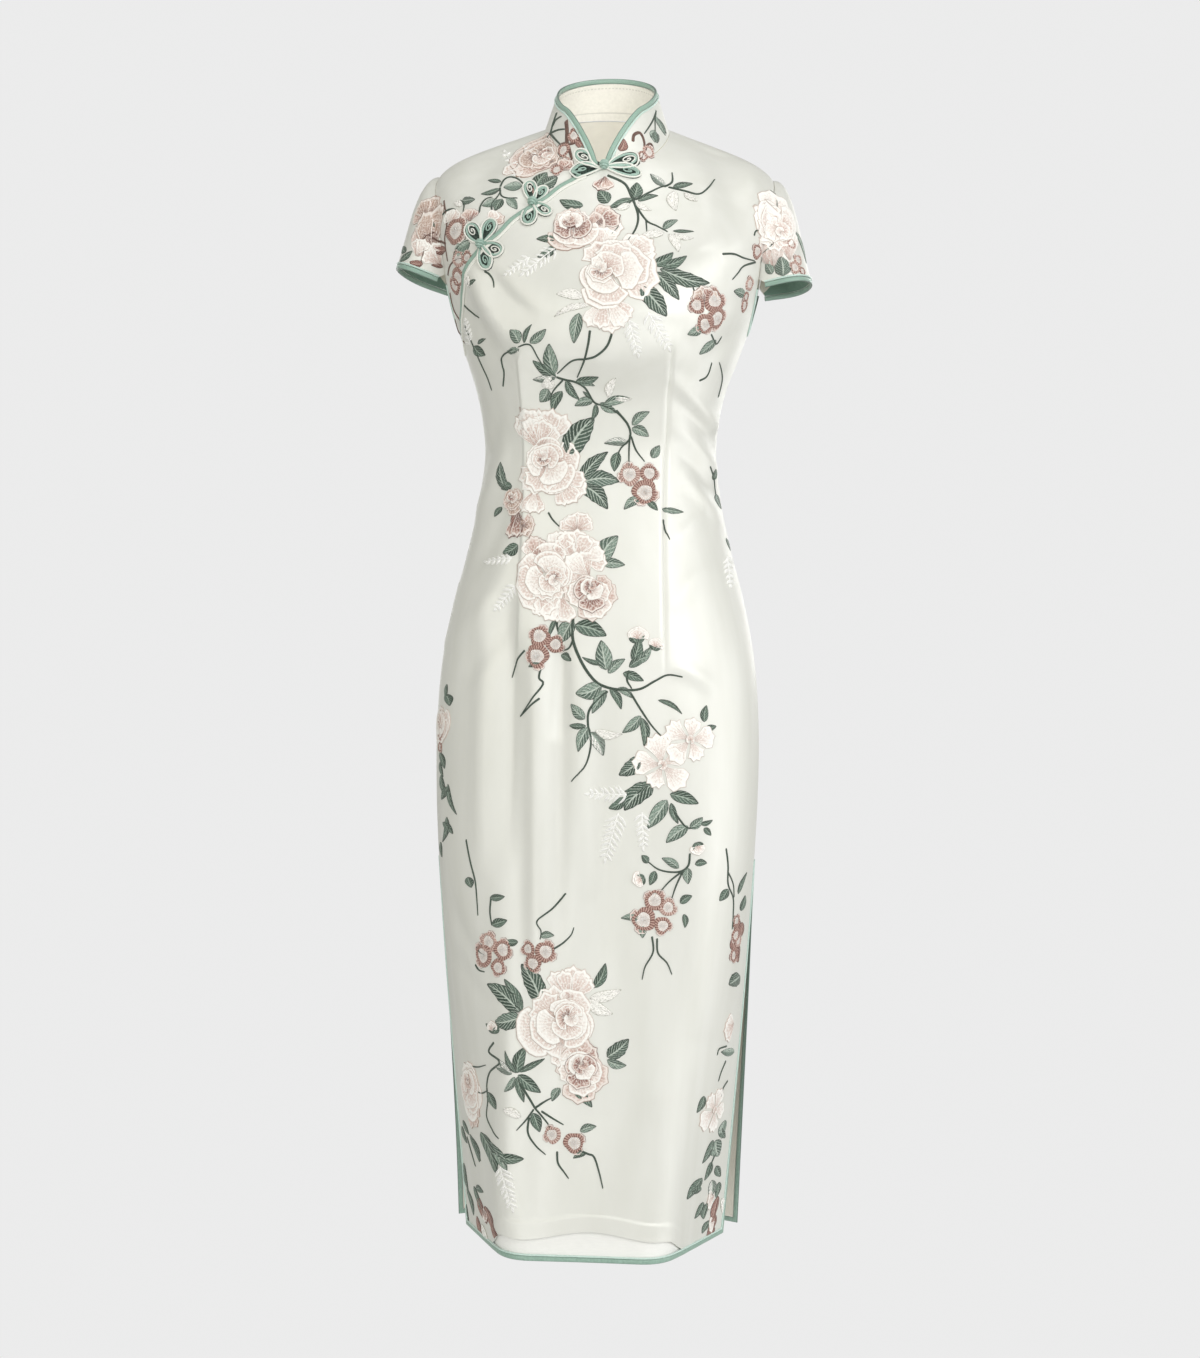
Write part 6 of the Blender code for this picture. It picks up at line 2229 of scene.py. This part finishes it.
# A narrow light through the collar's opening, onto the lining behind it
NECK_LIGHT, NECK_TARGET = (0.06, -1.7, -0.12), (0, 0.04, -0.005)
NECK_POWER, NECK_SPREAD, NECK_SIZE = 16, math.radians(9), 0.03


def new_light(name, kind, place, target, power):
    data = bpy.data.lights.new(name, kind)
    data.energy = power
    light = in_scene(name, data)
    light.location = place
    facing = Vector(target) - Vector(place)
    light.rotation_euler = facing.to_track_quat("-Z", "Y").to_euler()
    return data


def add_lights():
    for name, place, target, size, power, colour in LIGHTS:
        data = new_light(name, "AREA", place, target, power)
        data.shape = "RECTANGLE"
        data.size, data.size_y = size
        data.color = colour
    neck = new_light("neck", "SPOT", NECK_LIGHT, NECK_TARGET, NECK_POWER)
    neck.spot_size = NECK_SPREAD
    neck.spot_blend = 1.0
    neck.shadow_soft_size = NECK_SIZE


FLOOR_Z = -1.75
FLOOR_RADIUS, FLOOR_SEGMENTS = 1.15, 96
FLOOR_DARK, FLOOR_LIGHT = grey(0.78), grey(0.82)
BACKDROP = (0.836, 0.836, 0.836, 1)  # what the camera sees
SURROUNDINGS = (0.412, 0.412, 0.388, 1)  # what lights the dress


def add_stage():
    work = bmesh.new()
    bmesh.ops.create_circle(work, cap_ends=True, radius=FLOOR_RADIUS, segments=FLOOR_SEGMENTS)
    mesh = bpy.data.meshes.new("floor")
    work.to_mesh(mesh)
    work.free()
    floor = in_scene("floor", mesh)
    floor.location = (0, 0, FLOOR_Z)
    nodes = Nodes("pale_floor")
    tone = nodes.ramp(nodes.noise(3.0), ((0.3, FLOOR_DARK), (0.7, FLOOR_LIGHT)))
    mesh.materials.append(nodes.finish(tone, Roughness=0.8))


def add_world():
    world = bpy.data.worlds.new("studio")
    bpy.context.scene.world = world
    world.use_nodes = True
    tree = world.node_tree
    background = tree.nodes["Background"]
    background.inputs["Color"].default_value = SURROUNDINGS
    backdrop = tree.nodes.new("ShaderNodeBackground")
    backdrop.inputs["Color"].default_value = BACKDROP
    path = tree.nodes.new("ShaderNodeLightPath")
    mix = tree.nodes.new("ShaderNodeMixShader")
    tree.links.new(path.outputs["Is Camera Ray"], mix.inputs[0])
    tree.links.new(background.outputs[0], mix.inputs[1])
    tree.links.new(backdrop.outputs[0], mix.inputs[2])
    tree.links.new(mix.outputs[0], tree.nodes["World Output"].inputs[0])


def build():
    bpy.context.scene.view_settings.view_transform = "Standard"
    add_camera()
    add_world()
    add_lights()
    add_stage()
    grids = add_panels() + add_sleeves()
    cloth = Cloth(grids)
    front = Sewing(cloth, "front")
    add_frogs(front)
    embroider(front)
    embroider(Sewing(cloth, "back", mirrored=True))


build()
